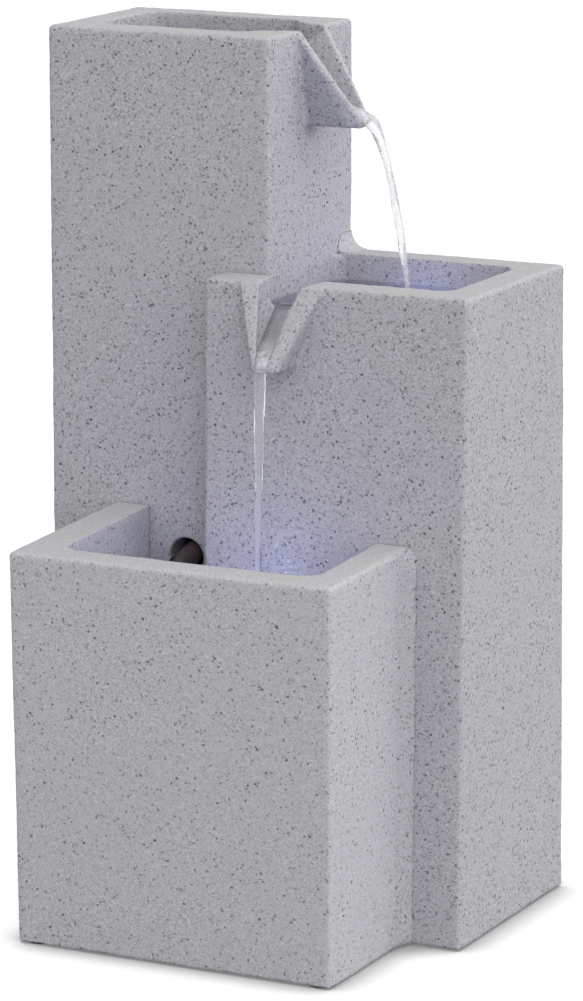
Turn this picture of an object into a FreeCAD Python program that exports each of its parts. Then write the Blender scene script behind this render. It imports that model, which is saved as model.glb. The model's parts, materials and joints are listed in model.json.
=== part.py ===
import FreeCAD, Part
import Sketcher
import math
import os
import re

# Indoor fountain: a tower, a middle column and a lower basin cast in granite-look resin,
# with a pump in the lower basin, a riser hose inside the tower and two lamps under the water.
# Frame: +Z up, origin under the middle of the footprint, front towards -Y, millimetres.

# Driving sizes
SIZES = {
    # Tower, the tall column
    "tower_width": 113.0,
    "tower_depth": 86.0,
    "tower_height": 400.0,
    "tower_wall": 17.0,
    "tower_floor": 14.0,
    "tower_basin_depth": 46.0,
    # Middle column, which wraps the front right corner of the tower
    "middle_width": 130.0,
    "middle_overlap": 23.0,
    "middle_step": 20.0,
    "middle_height": 294.0,
    "middle_wall": 17.0,
    "middle_floor": 14.0,
    "middle_basin_depth": 44.0,
    "middle_front_flare": 4.0,
    "middle_back_flare": 6.0,
    # Lower basin, the reservoir in front of both columns
    "lower_width": 157.0,
    "lower_inset": 36.0,
    "lower_depth": 99.0,
    "lower_height": 179.0,
    "lower_rim_rise": 3.8,
    "lower_lean": 3.0,
    "lower_wall": 16.0,
    "lower_floor": 14.0,
    # Rounding shared by the castings
    "edge_round": 2.5,
    "basin_corner": 9.0,
    "bead_cove": 6.0,
    # Spouts
    "tower_spout_width": 32.5,
    "tower_mouth_width": 37.0,
    "tower_spout_reach": 27.0,
    "tower_spout_drop": 44.0,
    "middle_spout_offset": 39.5,
    "middle_spout_width": 43.0,
    "middle_mouth_width": 28.0,
    "middle_spout_reach": 21.0,
    "middle_spout_drop": 37.0,
    "spout_keel": 14.0,
    "spout_tip": 9.6,
    "spout_lip": 4.0,
    "spout_root": 4.0,
    "spout_rim": 5.0,
    "channel_width": 22.5,
    "channel_tip": 3.6,
    "channel_entry": 14.0,
    "channel_lip": 2.0,
    "mouth_step": 3.0,
    "shoulder_round": 11.0,
    # Feet
    "foot_diameter": 12.0,
    "foot_thickness": 2.0,
    "foot_recess": 1.2,
    # Port for the hose and the cables
    "port_inset": 70.2,
    "port_height": 160.3,
    "port_diameter": 16.5,
    "port_gap": 0.2,
    "pump_cable_clock": 17.6,
    "lamp_cable_clock": 56.3,
    # Hose, nipple and clamps
    "hose_diameter": 10.0,
    "hose_bore": 7.0,
    "hose_clock": 38.0,
    "water_bore": 4.6,
    "tail_length": 12.0,
    "stem_diameter": 12.0,
    "stem_end": 3.0,
    "flange_diameter": 20.0,
    "flange_thickness": 3.0,
    "washer_thickness": 2.0,
    "nut_thickness": 6.0,
    "nut_radius": 10.0,
    "clamp_width": 6.0,
    "clamp_thickness": 1.2,
    # Pump
    "pump_inset": 3.0,
    "pump_standoff": 48.0,
    "pump_side": 36.0,
    "pump_round": 4.0,
    "cup_height": 6.0,
    "cup_radius": 6.0,
    "cup_neck": 2.5,
    "back_cover": 2.5,
    "housing_length": 30.0,
    "housing_wall": 2.5,
    "housing_front": 6.0,
    "gasket_thickness": 1.0,
    "volute_front": 4.0,
    "chamber_radius": 13.0,
    "chamber_depth": 9.0,
    "inlet_radius": 7.0,
    "spider_hub_wall": 1.6,
    "spider_arm": 3.0,
    "well_radius": 7.6,
    "well_depth": 24.0,
    "well_wall": 1.5,
    "magnet_gap": 1.0,
    "rotor_shaft_radius": 1.5,
    "bush_radius": 3.0,
    "bush_length": 3.0,
    "impeller_gap": 2.0,
    "impeller_clearance": 0.6,
    "impeller_disc": 1.5,
    "impeller_hub": 3.6,
    "impeller_hub_depth": 1.0,
    "vane_clearance": 2.1,
    "vane_inset": 0.5,
    "vane_thickness": 1.4,
    "vane_count": 6.0,
    "core_rim": 2.2,
    "core_relief": 5.0,
    "core_plate": 1.8,
    "screw_inset": 4.6,
    "screw_radius": 1.2,
    "screw_head_radius": 2.3,
    "screw_head_height": 1.8,
    "screw_grip": 5.0,
    "spigot_boss": 4.4,
    "spigot_step": 3.0,
    "gland_radius": 4.0,
    "gland_height": 6.0,
    # Intake grille and flow dial
    "grille_length": 9.0,
    "grille_wall": 2.0,
    "grille_slot": 2.4,
    "window_ring": 7.4,
    "window_radius": 2.6,
    "pin_radius": 2.0,
    "dial_radius": 12.0,
    "dial_thickness": 2.5,
    "dial_tab": 3.0,
    "cap_radius": 4.0,
    "cap_thickness": 1.5,
    # Lamps
    "lamp_radius": 14.0,
    "lamp_height": 12.0,
    "lamp_base": 3.0,
    "lamp_wall": 2.0,
    "lamp_ledge": 2.0,
    "board_height": 6.0,
    "board_thickness": 1.6,
    "chip_side": 3.4,
    "chip_height": 1.2,
    "chip_ring": 5.5,
    "lens_rim": 2.0,
    "lens_dome": 3.0,
    "middle_lamp_inset": 46.0,
    "lower_lamp_inset": 29.0,
    "lamp_cable_height": 4.5,
    # Cables and splice box
    "cable_diameter": 2.6,
    "grommet_diameter": 8.0,
    "splice_width": 36.0,
    "splice_depth": 24.0,
    "splice_height": 30.0,
    "splice_wall": 2.0,
    "splice_bottom": 78.0,
    "splice_inset": 28.0,
    "splice_entry": 16.0,
    "pump_entry_shift": 5.0,
    "socket_entry_shift": 2.0,
    # Power socket
    "socket_height": 30.0,
    "socket_radius": 5.5,
    "socket_flange": 8.5,
    "socket_flange_thickness": 2.0,
    "socket_web": 4.0,
    "socket_length": 15.0,
    "socket_bore": 3.2,
    "socket_bore_depth": 10.0,
    "socket_pin": 1.0,
    "socket_nut_thickness": 3.0,
    "socket_pocket_room": 3.5,
    # Clearances
    "running_gap": 0.3,
    "shaft_gap": 0.06,
    "slip_gap": 0.1,
}

# Places worked out from the driving sizes
LAYOUT = {
    "overall_width": "tower_width + middle_width - middle_overlap",
    "overall_depth": "lower_depth + tower_depth + middle_back_flare",
    "base": "foot_thickness - foot_recess",
    "tower_left": "-overall_width / 2",
    "tower_right": "tower_left + tower_width",
    "tower_front": "lower_depth - overall_depth / 2",
    "tower_back": "tower_front + tower_depth",
    "tower_middle": "tower_front + tower_depth / 2",
    "tower_top": "base + tower_height",
    "tower_basin_floor": "tower_top - tower_basin_depth",
    "shaft_top": "tower_basin_floor - tower_floor",
    "shaft_left": "tower_left + tower_wall",
    "shaft_back": "tower_back - tower_wall",
    "middle_left": "tower_right - middle_overlap",
    "middle_right": "middle_left + middle_width",
    "middle_front": "tower_front - middle_step",
    "middle_depth": "middle_step + tower_depth",
    "middle_top": "base + middle_height",
    "middle_basin_floor": "middle_top - middle_basin_depth",
    "middle_hollow_top": "middle_basin_floor - middle_floor",
    "middle_inner_front": "middle_front + middle_wall",
    "middle_inner_back": "tower_back - middle_wall",
    "middle_spout_x": "middle_left + middle_spout_offset",
    "lower_left": "tower_left + lower_inset",
    "lower_right": "lower_left + lower_width",
    "lower_front": "tower_front - lower_depth",
    "lower_rim_slope": "lower_rim_rise / lower_depth",
    "lower_basin_floor": "base + lower_floor",
    "port_x": "tower_left + port_inset",
    "port_z": "base + port_height",
    "hose_offset": "(port_diameter - hose_diameter) / 2 - port_gap",
    "hose_x": "port_x + hose_offset * cos(hose_clock)",
    "hose_z": "port_z + hose_offset * sin(hose_clock)",
    "hose_tail_radius": "hose_bore / 2 - slip_gap",
    "stem_bottom": "shaft_top - nut_thickness - stem_end",
    "flange_bottom": "tower_basin_floor + washer_thickness",
    "pump_y": "tower_front - pump_standoff",
    "pump_bottom": "lower_basin_floor + cup_height",
    "pump_z": "pump_bottom + pump_side / 2",
    "pump_top": "pump_bottom + pump_side",
    "pump_left": "lower_left + lower_wall + pump_inset",
    "housing_left": "pump_left + back_cover",
    "housing_right": "housing_left + housing_length",
    "volute_left": "housing_right + gasket_thickness",
    "volute_length": "chamber_depth + volute_front",
    "volute_right": "volute_left + volute_length",
    "well_bottom": "housing_right - well_depth",
    "pocket_half": "pump_side / 2 - housing_wall",
    "screw_reach": "pump_side / 2 - screw_inset",
    "front_bush_left": "volute_left + chamber_depth",
    "magnet_radius": "well_radius - magnet_gap",
    "magnet_left": "well_bottom + bush_length + running_gap",
    "impeller_radius": "chamber_radius - impeller_gap",
    "impeller_left": "volute_left + impeller_clearance",
    "impeller_hub_left": "housing_right - impeller_hub_depth",
    "vane_left": "impeller_left + impeller_disc",
    "vane_height": "volute_left + chamber_depth - vane_clearance - vane_left",
    "outlet_x": "volute_left + chamber_depth / 2",
    "spigot_bottom": "pump_top + spigot_step",
    "grille_right": "volute_right + grille_length",
    "dial_left": "grille_right + running_gap",
    "cap_left": "dial_left + dial_thickness + running_gap",
    "core_radius": "pocket_half - running_gap",
    "coil_radius": "core_radius - core_rim",
    "core_length": "housing_length - housing_front - core_relief",
    "core_left": "housing_right - housing_front - running_gap - core_length",
    "splice_front": "shaft_back - splice_depth",
    "splice_left": "shaft_left + splice_inset",
    "splice_low": "base + splice_bottom",
    "splice_top": "splice_low + splice_height",
    "splice_z": "splice_low + splice_height / 2",
    "splice_y": "shaft_back - splice_entry",
    "middle_lamp_x": "tower_right + middle_lamp_inset",
    "lower_lamp_x": "lower_right - lower_wall - lower_lamp_inset",
    "lower_lamp_y": "(lower_front + lower_wall + middle_front - middle_front_flare) / 2",
    "cable_radius": "cable_diameter / 2",
    "cable_hole": "cable_diameter / 2 + slip_gap",
    "cable_ring": "port_diameter / 2 - cable_radius - port_gap",
    "pump_cable_x": "port_x - cable_ring * cos(pump_cable_clock)",
    "pump_cable_z": "port_z - cable_ring * sin(pump_cable_clock)",
    "lamp_cable_x": "port_x - cable_ring * cos(lamp_cable_clock)",
    "lamp_cable_z": "port_z - cable_ring * sin(lamp_cable_clock)",
    "pump_entry_y": "splice_y + pump_entry_shift",
    "socket_entry_y": "splice_y - socket_entry_shift",
    "socket_x": "splice_left + splice_width / 4",
    "socket_z": "base + socket_height",
    "socket_web_inside": "tower_back - socket_web",
}

# How far a cutting tool, or the root of a fused piece, passes the face that it meets
TOOL = {"past": 1.0}
# How near counts as touching
TOUCH = 0.01
# Grille slots, counted in steps from the pump's axis
SLOT_STEPS = (-2, -1, 0, 1, 2)

WORD = re.compile(r"[a-z][a-z_0-9]*")
UP = FreeCAD.Vector(0, 0, 1)
DOWN = FreeCAD.Vector(0, 0, -1)
RIGHT = FreeCAD.Vector(1, 0, 0)
FRONT = FreeCAD.Vector(0, -1, 0)
TURNS = {
    "x": FreeCAD.Rotation(FreeCAD.Vector(0, 1, 0), 90),
    "y": FreeCAD.Rotation(FreeCAD.Vector(1, 0, 0), -90),
    "z": FreeCAD.Rotation(),
}

doc = FreeCAD.newDocument("indoor_fountain")
size_sheet = doc.addObject("Spreadsheet::Sheet", "Size")
layout_sheet = doc.addObject("Spreadsheet::Sheet", "Layout")
sub_parts = []


def in_sheets(text, inside_layout=False):
    """Write the sheet's name before each alias of an expression."""
    def with_sheet(match):
        word = match.group()
        if word in TOOL:
            return str(TOOL[word])
        if word in SIZES:
            return "Size." + word
        if word in LAYOUT and not inside_layout:
            return "Layout." + word
        return word
    return WORD.sub(with_sheet, text)


def fill_sheets():
    for row, (alias, number) in enumerate(SIZES.items(), 1):
        size_sheet.set(f"A{row}", alias)
        size_sheet.set(f"B{row}", str(number))
        size_sheet.setAlias(f"B{row}", alias)
    doc.recompute()
    for row, (alias, formula) in enumerate(LAYOUT.items(), 1):
        layout_sheet.set(f"A{row}", alias)
        layout_sheet.setAlias(f"B{row}", alias)
        layout_sheet.set(f"B{row}", "=" + in_sheets(formula, inside_layout=True))
    doc.recompute()


def value(alias):
    sheet = size_sheet if alias in SIZES else layout_sheet
    return float(sheet.get(alias))


def bind(item, prop, text):
    item.setExpression(prop, in_sheets(text))


def seat(item, corner):
    for axis, text in zip("xyz", corner):
        bind(item, "Placement.Base." + axis, text)


def box(name, corner, extent):
    item = doc.addObject("Part::Box", name)
    for prop, text in zip(("Length", "Width", "Height"), extent):
        bind(item, prop, text)
    seat(item, corner)
    return item


def cylinder(name, centre, radius, height, axis="z"):
    item = doc.addObject("Part::Cylinder", name)
    item.Placement = FreeCAD.Placement(FreeCAD.Vector(), TURNS[axis])
    bind(item, "Radius", radius)
    bind(item, "Height", height)
    seat(item, centre)
    return item


def cone(name, centre, bottom_radius, top_radius, height):
    item = doc.addObject("Part::Cone", name)
    bind(item, "Radius1", bottom_radius)
    bind(item, "Radius2", top_radius)
    bind(item, "Height", height)
    seat(item, centre)
    return item


def hexagon(name, centre, radius, height, axis="z"):
    item = doc.addObject("Part::Prism", name)
    item.Polygon = 6
    item.Placement = FreeCAD.Placement(FreeCAD.Vector(), TURNS[axis])
    bind(item, "Circumradius", radius)
    bind(item, "Height", height)
    seat(item, centre)
    return item


def wedge(name, origin, along, upright, span, near, far):
    """Block that tapers along one direction; near and far give half width, low and high."""
    item = doc.addObject("Part::Wedge", name)
    turn = FreeCAD.Rotation(along.cross(upright), along, upright, "YZX")
    item.Placement = FreeCAD.Placement(FreeCAD.Vector(), turn)
    bind(item, "Ymin", span[0])
    bind(item, "Ymax", span[1])
    for prefix, (half_width, low, high) in (("", near), ("2", far)):
        bind(item, f"X{prefix}min", f"-({half_width})")
        bind(item, f"X{prefix}max", half_width)
        bind(item, f"Z{prefix}min", low)
        bind(item, f"Z{prefix}max", high)
    seat(item, origin)
    return item


def cut(name, base, *tools):
    for tool in tools:
        item = doc.addObject("Part::Cut", name)
        item.Base = base
        item.Tool = tool
        base = item
    return base


def fuse(name, *items):
    item = doc.addObject("Part::MultiFuse", name)
    item.Shapes = list(items)
    item.Refine = True
    return item


def common(name, first, second):
    item = doc.addObject("Part::Common", name)
    item.Base = first
    item.Tool = second
    return item


def group(name, *items):
    item = doc.addObject("Part::Compound", name)
    item.Links = list(items)
    return item


def ring(name, centre, outer, inner, height, axis="z"):
    return cut(name, cylinder(name + "_outer", centre, outer, height, axis),
               cylinder(name + "_inner", centre, inner, height, axis))


def round_edges(name, base, radius, chosen):
    """Round the edges of a block for which chosen(low corner, high corner of the edge) holds."""
    doc.recompute()
    item = doc.addObject("Part::Fillet", name)
    item.Base = base
    bend = value(radius)
    numbered = enumerate(base.Shape.Edges, 1)
    item.Edges = [(number, bend, bend) for number, edge in numbered if chosen(edge.BoundBox)]
    return item


def stands(bounds):
    return bounds.ZLength > max(bounds.XLength, bounds.YLength)


def runs_along_x(bounds):
    return bounds.XLength > bounds.YLength + bounds.ZLength


def rises_over(bounds, level):
    return bounds.ZMax > value(level) + TOUCH


def keep(label, item):
    item.Label = label
    sub_parts.append(item)
    return item


def points(*routes):
    """Turn route points given as expressions' aliases plus offsets into vectors."""
    return [FreeCAD.Vector(*(value(alias) + offset for alias, offset in route)) for route in routes]


def route_wire(route, bends):
    """Straight runs joined by tangent arcs of the given radii."""
    edges = []
    start = route[0]
    for before, corner, after, radius in zip(route, route[1:], route[2:], bends):
        arriving = (corner - before).normalize()
        leaving = (after - corner).normalize()
        turn = arriving.getAngle(leaving)
        reach = radius * math.tan(turn / 2)
        into = corner - arriving * reach
        out = corner + leaving * reach
        inward = (leaving - arriving).normalize()
        middle = corner + inward * (radius / math.cos(turn / 2) - radius)
        edges.append(Part.LineSegment(start, into).toShape())
        edges.append(Part.Arc(into, middle, out).toShape())
        start = out
    edges.append(Part.LineSegment(start, route[-1]).toShape())
    return Part.Wire(edges)


def swept(wire, route, radius):
    circle = Part.Circle(route[0], route[1] - route[0], radius)
    return wire.makePipeShell([Part.Wire(circle.toShape())], True, False)


def tube(label, route, bends, radius, bore=0.0):
    """Hose or cable along a route; the volume is compared with section times length."""
    wire = route_wire(route, bends)
    shape = swept(wire, route, radius)
    if bore:
        shape = shape.cut(swept(wire, route, bore))
    section = math.pi * (radius ** 2 - bore ** 2)
    ratio = shape.Volume / (section * wire.Length)
    print(f"{label}: length {wire.Length:.1f}, least bend {min(bends):.1f}, volume ratio {ratio:.4f}")
    item = doc.addObject("Part::Feature", label)
    item.Shape = shape
    item.Placement = FreeCAD.Placement()
    return keep(label, item)


def spout(name, origin, outward, width, mouth, reach, drop, wall):
    """Beak spout and the channel that is cut through the wall and along it."""
    half = f"{width} / 2"
    fall = f"({drop} - spout_lip)"
    root_half = f"{half} + spout_root * ({half} - spout_tip / 2) / {reach}"
    root_top = f"spout_root * {fall} / {reach}"
    body_plan = wedge(name + "_plan", origin, outward, UP, ("-spout_root", reach),
                      (root_half, f"-{drop}", root_top), ("spout_tip / 2", f"-{drop}", f"-{fall}"))
    body_keel = wedge(name + "_keel", origin, DOWN, outward, ("0", drop),
                      (half, "-spout_root", reach), ("spout_keel / 2", "-spout_root", reach))
    inside = f"-{wall} - past"
    beyond = f"{reach} + past"
    above = "spout_root"
    tip_depth = f"({fall} + channel_lip)"
    wall_share = f"({wall} + past) / ({wall} + {reach} + 2 * past)"
    wall_depth = f"(channel_entry + ({tip_depth} - channel_entry) * {wall_share})"
    at_mouth = (f"{mouth} / 2", "-channel_entry", above)
    at_wall = ("channel_width / 2", f"-{wall_depth}", above)
    through = wedge(name + "_channel_through", origin, outward, UP, (inside, "0"), at_mouth, at_wall)
    along = wedge(name + "_channel_along", origin, outward, UP, ("0", beyond), at_wall,
                  ("channel_tip / 2", f"-{tip_depth}", above))
    keel_top = f"{half} - spout_rim + {above} * ({half} - spout_keel / 2) / {drop}"
    channel_keel = wedge(name + "_channel_keel", origin, DOWN, outward, (f"-{above}", drop),
                         (keel_top, inside, beyond), ("spout_keel / 2 - spout_rim", inside, beyond))
    trough = common(name + "_trough", fuse(name + "_channel_plan", through, along), channel_keel)
    funnel = wedge(name + "_funnel", origin, outward, UP, (inside, "0"), at_mouth,
                   ("channel_width / 2", "-mouth_step", above))
    return common(name + "_beak", body_plan, body_keel), fuse(name + "_channel", trough, funnel)


def foot_places():
    """Middle of each foot, in the castings' walls."""
    tower_side = "tower_left + tower_wall / 2"
    middle_side = "middle_right - middle_wall / 2"
    lower_front_line = "lower_front + lower_wall / 2"
    return {
        "tower": ((tower_side, "tower_front + tower_wall / 2"),
                  (tower_side, "tower_back - tower_wall / 2")),
        "middle": ((middle_side, "middle_front + middle_wall / 2"),
                   (middle_side, "tower_back - middle_wall / 2")),
        "lower": (("lower_left + lower_wall / 2", lower_front_line),
                  ("lower_right - lower_wall / 2", lower_front_line)),
    }


def foot_recesses(casting):
    radius = "foot_diameter / 2 + slip_gap"
    return [cylinder(casting + "_foot_recess", (x, y, "0"), radius, "foot_thickness")
            for x, y in foot_places()[casting]]


def tower_casting():
    block = box("tower_block", ("tower_left", "tower_front", "base"),
                ("tower_width", "tower_depth", "tower_height"))
    shell = round_edges("tower_rounded", block, "edge_round", lambda b: rises_over(b, "base"))
    beak, channel = spout("tower_spout", ("tower_right", "tower_middle", "tower_top"), RIGHT,
                          "tower_spout_width", "tower_mouth_width", "tower_spout_reach",
                          "tower_spout_drop", "tower_wall")
    inside = ("shaft_left", "tower_front + tower_wall")
    plan = ("tower_width - 2 * tower_wall", "tower_depth - 2 * tower_wall")
    basin_block = box("tower_basin_block", inside + ("tower_basin_floor",),
                      plan + ("tower_basin_depth + past",))
    basin = round_edges("tower_basin", basin_block, "basin_corner", stands)
    shaft = box("tower_shaft", inside + ("0",), plan + ("shaft_top",))
    port = cylinder("port_bore", ("port_x", "tower_front - past", "port_z"), "port_diameter / 2",
                    "tower_wall + 2 * past", "y")
    nipple_bore = cylinder("nipple_bore", ("hose_x", "tower_middle", "shaft_top - past"),
                           "stem_diameter / 2 + slip_gap", "tower_floor + 2 * past")
    cable_bore = cylinder("wall_grommet_bore", ("tower_right - tower_wall - past", "splice_y", "splice_z"),
                          "grommet_diameter / 2", "tower_wall + 2 * past", "x")
    socket_bore = cylinder("socket_wall_bore", ("socket_x", "shaft_back - past", "socket_z"),
                           "socket_radius + slip_gap", "tower_wall + 2 * past", "y")
    socket_pocket = cylinder("socket_wall_pocket", ("socket_x", "shaft_back - past", "socket_z"),
                             "socket_flange + socket_pocket_room", "tower_wall - socket_web + past", "y")
    with_spout = fuse("tower_with_spout", shell, beak)
    keep("tower_casting", cut("tower_cut", with_spout, basin, shaft, channel, port, nipple_bore, cable_bore,
                              socket_bore, socket_pocket, *foot_recesses("tower")))


def middle_envelope(name):
    """Outside of the middle column, which leans out towards its foot at the front and the back."""
    origin = ("(middle_left + middle_right) / 2", "tower_back", "base")
    return wedge(name, origin, UP, FRONT, ("0", "middle_height"),
                 ("middle_width / 2", "-middle_back_flare", "middle_depth + middle_front_flare"),
                 ("middle_width / 2", "0", "middle_depth"))


def middle_casting():
    block = middle_envelope("middle_block")
    shell = round_edges("middle_rounded", block, "edge_round", lambda b: rises_over(b, "base"))
    beak, channel = spout("middle_spout", ("middle_spout_x", "middle_front", "middle_top"), FRONT,
                          "middle_spout_width", "middle_mouth_width", "middle_spout_reach",
                          "middle_spout_drop", "middle_wall")
    tower_notch = box("middle_tower_notch", ("middle_left - past", "tower_front", "0"),
                      ("middle_overlap + past", "tower_depth + middle_back_flare + past",
                       "middle_top + past"))
    inside = ("tower_right", "middle_inner_front")
    plan = ("middle_right - middle_wall - tower_right", "middle_inner_back - middle_inner_front")
    basin_block = box("middle_basin_block", inside + ("middle_basin_floor",),
                      plan + ("middle_basin_depth + past",))
    tower_side = value("tower_right")
    basin = round_edges("middle_basin", basin_block, "basin_corner",
                        lambda b: stands(b) and b.XMin > tower_side + TOUCH)
    hollow = box("middle_hollow", inside + ("0",), plan + ("middle_hollow_top",))
    cable_bore = cylinder("floor_grommet_bore", ("middle_lamp_x", "splice_y", "middle_hollow_top - past"),
                          "grommet_diameter / 2", "middle_floor + 2 * past")
    with_spout = fuse("middle_with_spout", shell, beak)
    keep("middle_casting", cut("middle_cut", with_spout, tower_notch, basin, hollow, channel, cable_bore,
                               shoulder_tool(), *foot_recesses("middle")))


def shoulder_tool():
    """Corner to take off where the rim rolls over into the right side of the spout."""
    edge_x = "middle_spout_x + channel_width / 2"
    start = "middle_front - middle_spout_reach"
    length = "middle_wall + middle_spout_reach + past"
    low = "middle_top - shoulder_round"
    corner = box("shoulder_corner", (edge_x, start, low),
                 ("shoulder_round", length, "shoulder_round + past"))
    roll = cylinder("shoulder_roll", (edge_x + " + shoulder_round", start, low), "shoulder_round",
                    length, "y")
    return cut("shoulder_tool", corner, roll)


def lower_basin_casting():
    """Reservoir whose rim falls gently to the front and whose left side leans out towards the rim."""
    half = "(lower_width + lower_lean) / 2"
    tallest = "lower_height + lower_rim_rise"
    wide = wedge("lower_wide_block", ("lower_right - " + half, "tower_front", "base"), FRONT, UP,
                 ("0", "lower_depth"), (half, "0", tallest), (half, "0", "lower_height"))
    breadth = "lower_depth / 2 + past"
    lean = wedge("lower_lean_tool", ("lower_left", "tower_front - lower_depth / 2", "base"), UP, RIGHT,
                 ("0", tallest), (breadth, "-lower_lean - past", "0"),
                 (breadth, "-lower_lean - past", "-lower_lean"))
    block = cut("lower_block", wide, lean)
    back = value("tower_front")
    shell = round_edges("lower_rounded", block, "edge_round",
                        lambda b: rises_over(b, "base") and b.YMin < back - TOUCH)
    basin_block = box("lower_basin_block", ("lower_left + lower_wall", "lower_front + lower_wall",
                                            "lower_basin_floor"),
                      ("lower_width - 2 * lower_wall", "lower_depth", "lower_height"))
    basin = round_edges("lower_basin", basin_block, "basin_corner", lambda b: stands(b) and b.YMin < back)
    keep("lower_basin_casting", cut("lower_cut", shell, middle_envelope("lower_middle_notch"), basin,
                                    *foot_recesses("lower")))


def joint_beads():
    """Coved sealant: right of the lower basin, and beside the tower on the middle rim."""
    foot_line = "middle_front - middle_front_flare"
    height = f"lower_height + lower_rim_slope * ({foot_line} - lower_front)"
    side_block = box("side_bead_block", ("lower_right", foot_line + " - bead_cove", "base"),
                     ("bead_cove", "bead_cove + middle_front_flare", height))
    side_cove = cylinder("side_bead_cove", ("lower_right + bead_cove", foot_line + " - bead_cove", "0"),
                         "bead_cove", f"base + {height} + past")
    side_bead = cut("side_bead", side_block, side_cove, middle_envelope("side_bead_column"))
    rim_start = "middle_inner_back"
    rim_length = "middle_wall - edge_round"
    rim_block = box("rim_bead_block", ("tower_right", rim_start, "middle_top"),
                    ("bead_cove", rim_length, "bead_cove"))
    rim_cove = cylinder("rim_bead_cove", ("tower_right + bead_cove", rim_start, "middle_top + bead_cove"),
                        "bead_cove", rim_length, "y")
    rim_bead = cut("rim_bead", rim_block, rim_cove)
    keep("joint_beads", group("joint_bead_group", side_bead, rim_bead))


def rubber_feet():
    feet = [cylinder("foot", (x, y, "0"), "foot_diameter / 2", "foot_thickness")
            for casting in foot_places().values() for x, y in casting]
    keep("rubber_feet", group("foot_group", *feet))


def pump_shell():
    axis = ("pump_y", "pump_z")
    low = ("pump_y - pump_side / 2", "pump_bottom")
    side = ("pump_side", "pump_side")
    block = box("housing_block", ("housing_left",) + low, ("housing_length",) + side)
    rounded = round_edges("housing_rounded", block, "pump_round", runs_along_x)
    pocket_low = ("pump_y - pocket_half", "pump_z - pocket_half")
    pocket = box("housing_pocket", ("housing_left",) + pocket_low,
                 ("housing_length - housing_front", "2 * pocket_half", "2 * pocket_half"))
    can = cylinder("housing_can", ("well_bottom - well_wall",) + axis, "well_radius + well_wall",
                   "well_depth", "x")
    well = cylinder("housing_well", ("well_bottom",) + axis, "well_radius", "well_depth + past", "x")
    gland_bore = cylinder("housing_gland_bore", ("pump_cable_x", "pump_y", "pump_top - housing_wall - past"),
                          "cable_hole", "housing_wall + 2 * past")
    hollow = cut("housing_hollow", rounded, pocket)
    keep("pump_housing", cut("housing_cut", fuse("housing_with_can", hollow, can), well, gland_bore,
                             *screw_bores("housing_right - screw_grip - past", "screw_grip + 2 * past")))
    cover_block = box("back_cover_block", ("pump_left",) + low, ("back_cover",) + side)
    keep("pump_back_cover", round_edges("back_cover_rounded", cover_block, "pump_round",
                                        runs_along_x))
    gasket_block = box("gasket_block", ("housing_right",) + low, ("gasket_thickness",) + side)
    gasket = round_edges("gasket_rounded", gasket_block, "pump_round", runs_along_x)
    opening = cylinder("gasket_opening", ("housing_right - past",) + axis, "chamber_radius",
                       "gasket_thickness + 2 * past", "x")
    keep("volute_gasket", cut("gasket_cut", gasket, opening,
                              *screw_bores("housing_right - past", "gasket_thickness + 2 * past")))
    keep("pump_cable_gland", ring("pump_gland", ("pump_cable_x", "pump_y", "pump_top"), "gland_radius",
                                  "cable_hole", "gland_height"))


def screw_places():
    return [(f"pump_y {across} screw_reach", f"pump_z {up} screw_reach") for across in "+-" for up in "+-"]


def screw_bores(start, length):
    return [cylinder("screw_bore", (start, y, z), "screw_radius + slip_gap", length, "x")
            for y, z in screw_places()]


def volute():
    axis = ("pump_y", "pump_z")
    block = box("volute_block", ("volute_left", "pump_y - pump_side / 2", "pump_bottom"),
                ("volute_length", "pump_side", "pump_side"))
    rounded = round_edges("volute_rounded", block, "pump_round", runs_along_x)
    chamber = cylinder("volute_chamber", ("volute_left - past",) + axis, "chamber_radius",
                       "chamber_depth + past", "x")
    inlet = cylinder("volute_inlet", ("volute_left",) + axis, "inlet_radius", "volute_length + past", "x")
    front = "front_bush_left"
    front_length = "volute_front"
    arm = box("spider_arm", (front, "pump_y - inlet_radius - past", "pump_z - spider_arm / 2"),
              (front_length, "2 * inlet_radius + 2 * past", "spider_arm"))
    hub = cylinder("spider_hub", (front,) + axis, "bush_radius + spider_hub_wall", front_length, "x")
    hub_bore = cylinder("spider_bore", ("volute_left",) + axis, "bush_radius", "volute_length + past", "x")
    boss = cylinder("spigot_boss", ("outlet_x", "pump_y", "pump_top - past"), "spigot_boss",
                    "spigot_step + past")
    spigot = cylinder("spigot", ("outlet_x", "pump_y", "pump_top"), "hose_tail_radius",
                      "spigot_step + tail_length")
    passage = cylinder("spigot_bore", ("outlet_x", "pump_y", "pump_z"), "water_bore / 2",
                       "pump_side + tail_length")
    opened = cut("volute_open", rounded, chamber, inlet)
    spidered = fuse("volute_spidered", opened, arm, hub)
    bored = cut("volute_bored", spidered, hub_bore)
    keep("volute_cover", cut("volute_cut", fuse("volute_spigot", bored, boss, spigot), passage,
                             *screw_bores("volute_left - past", "volute_length + 2 * past")))
    screws = []
    for y, z in screw_places():
        shank = cylinder("screw_shank", ("housing_right - screw_grip", y, z), "screw_radius",
                         "screw_grip + gasket_thickness + volute_length", "x")
        head = cylinder("screw_head", ("volute_right", y, z), "screw_head_radius", "screw_head_height", "x")
        screws.append(fuse("volute_screw_turned", shank, head))
    keep("volute_screws", group("volute_screw_group", *screws))


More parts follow.
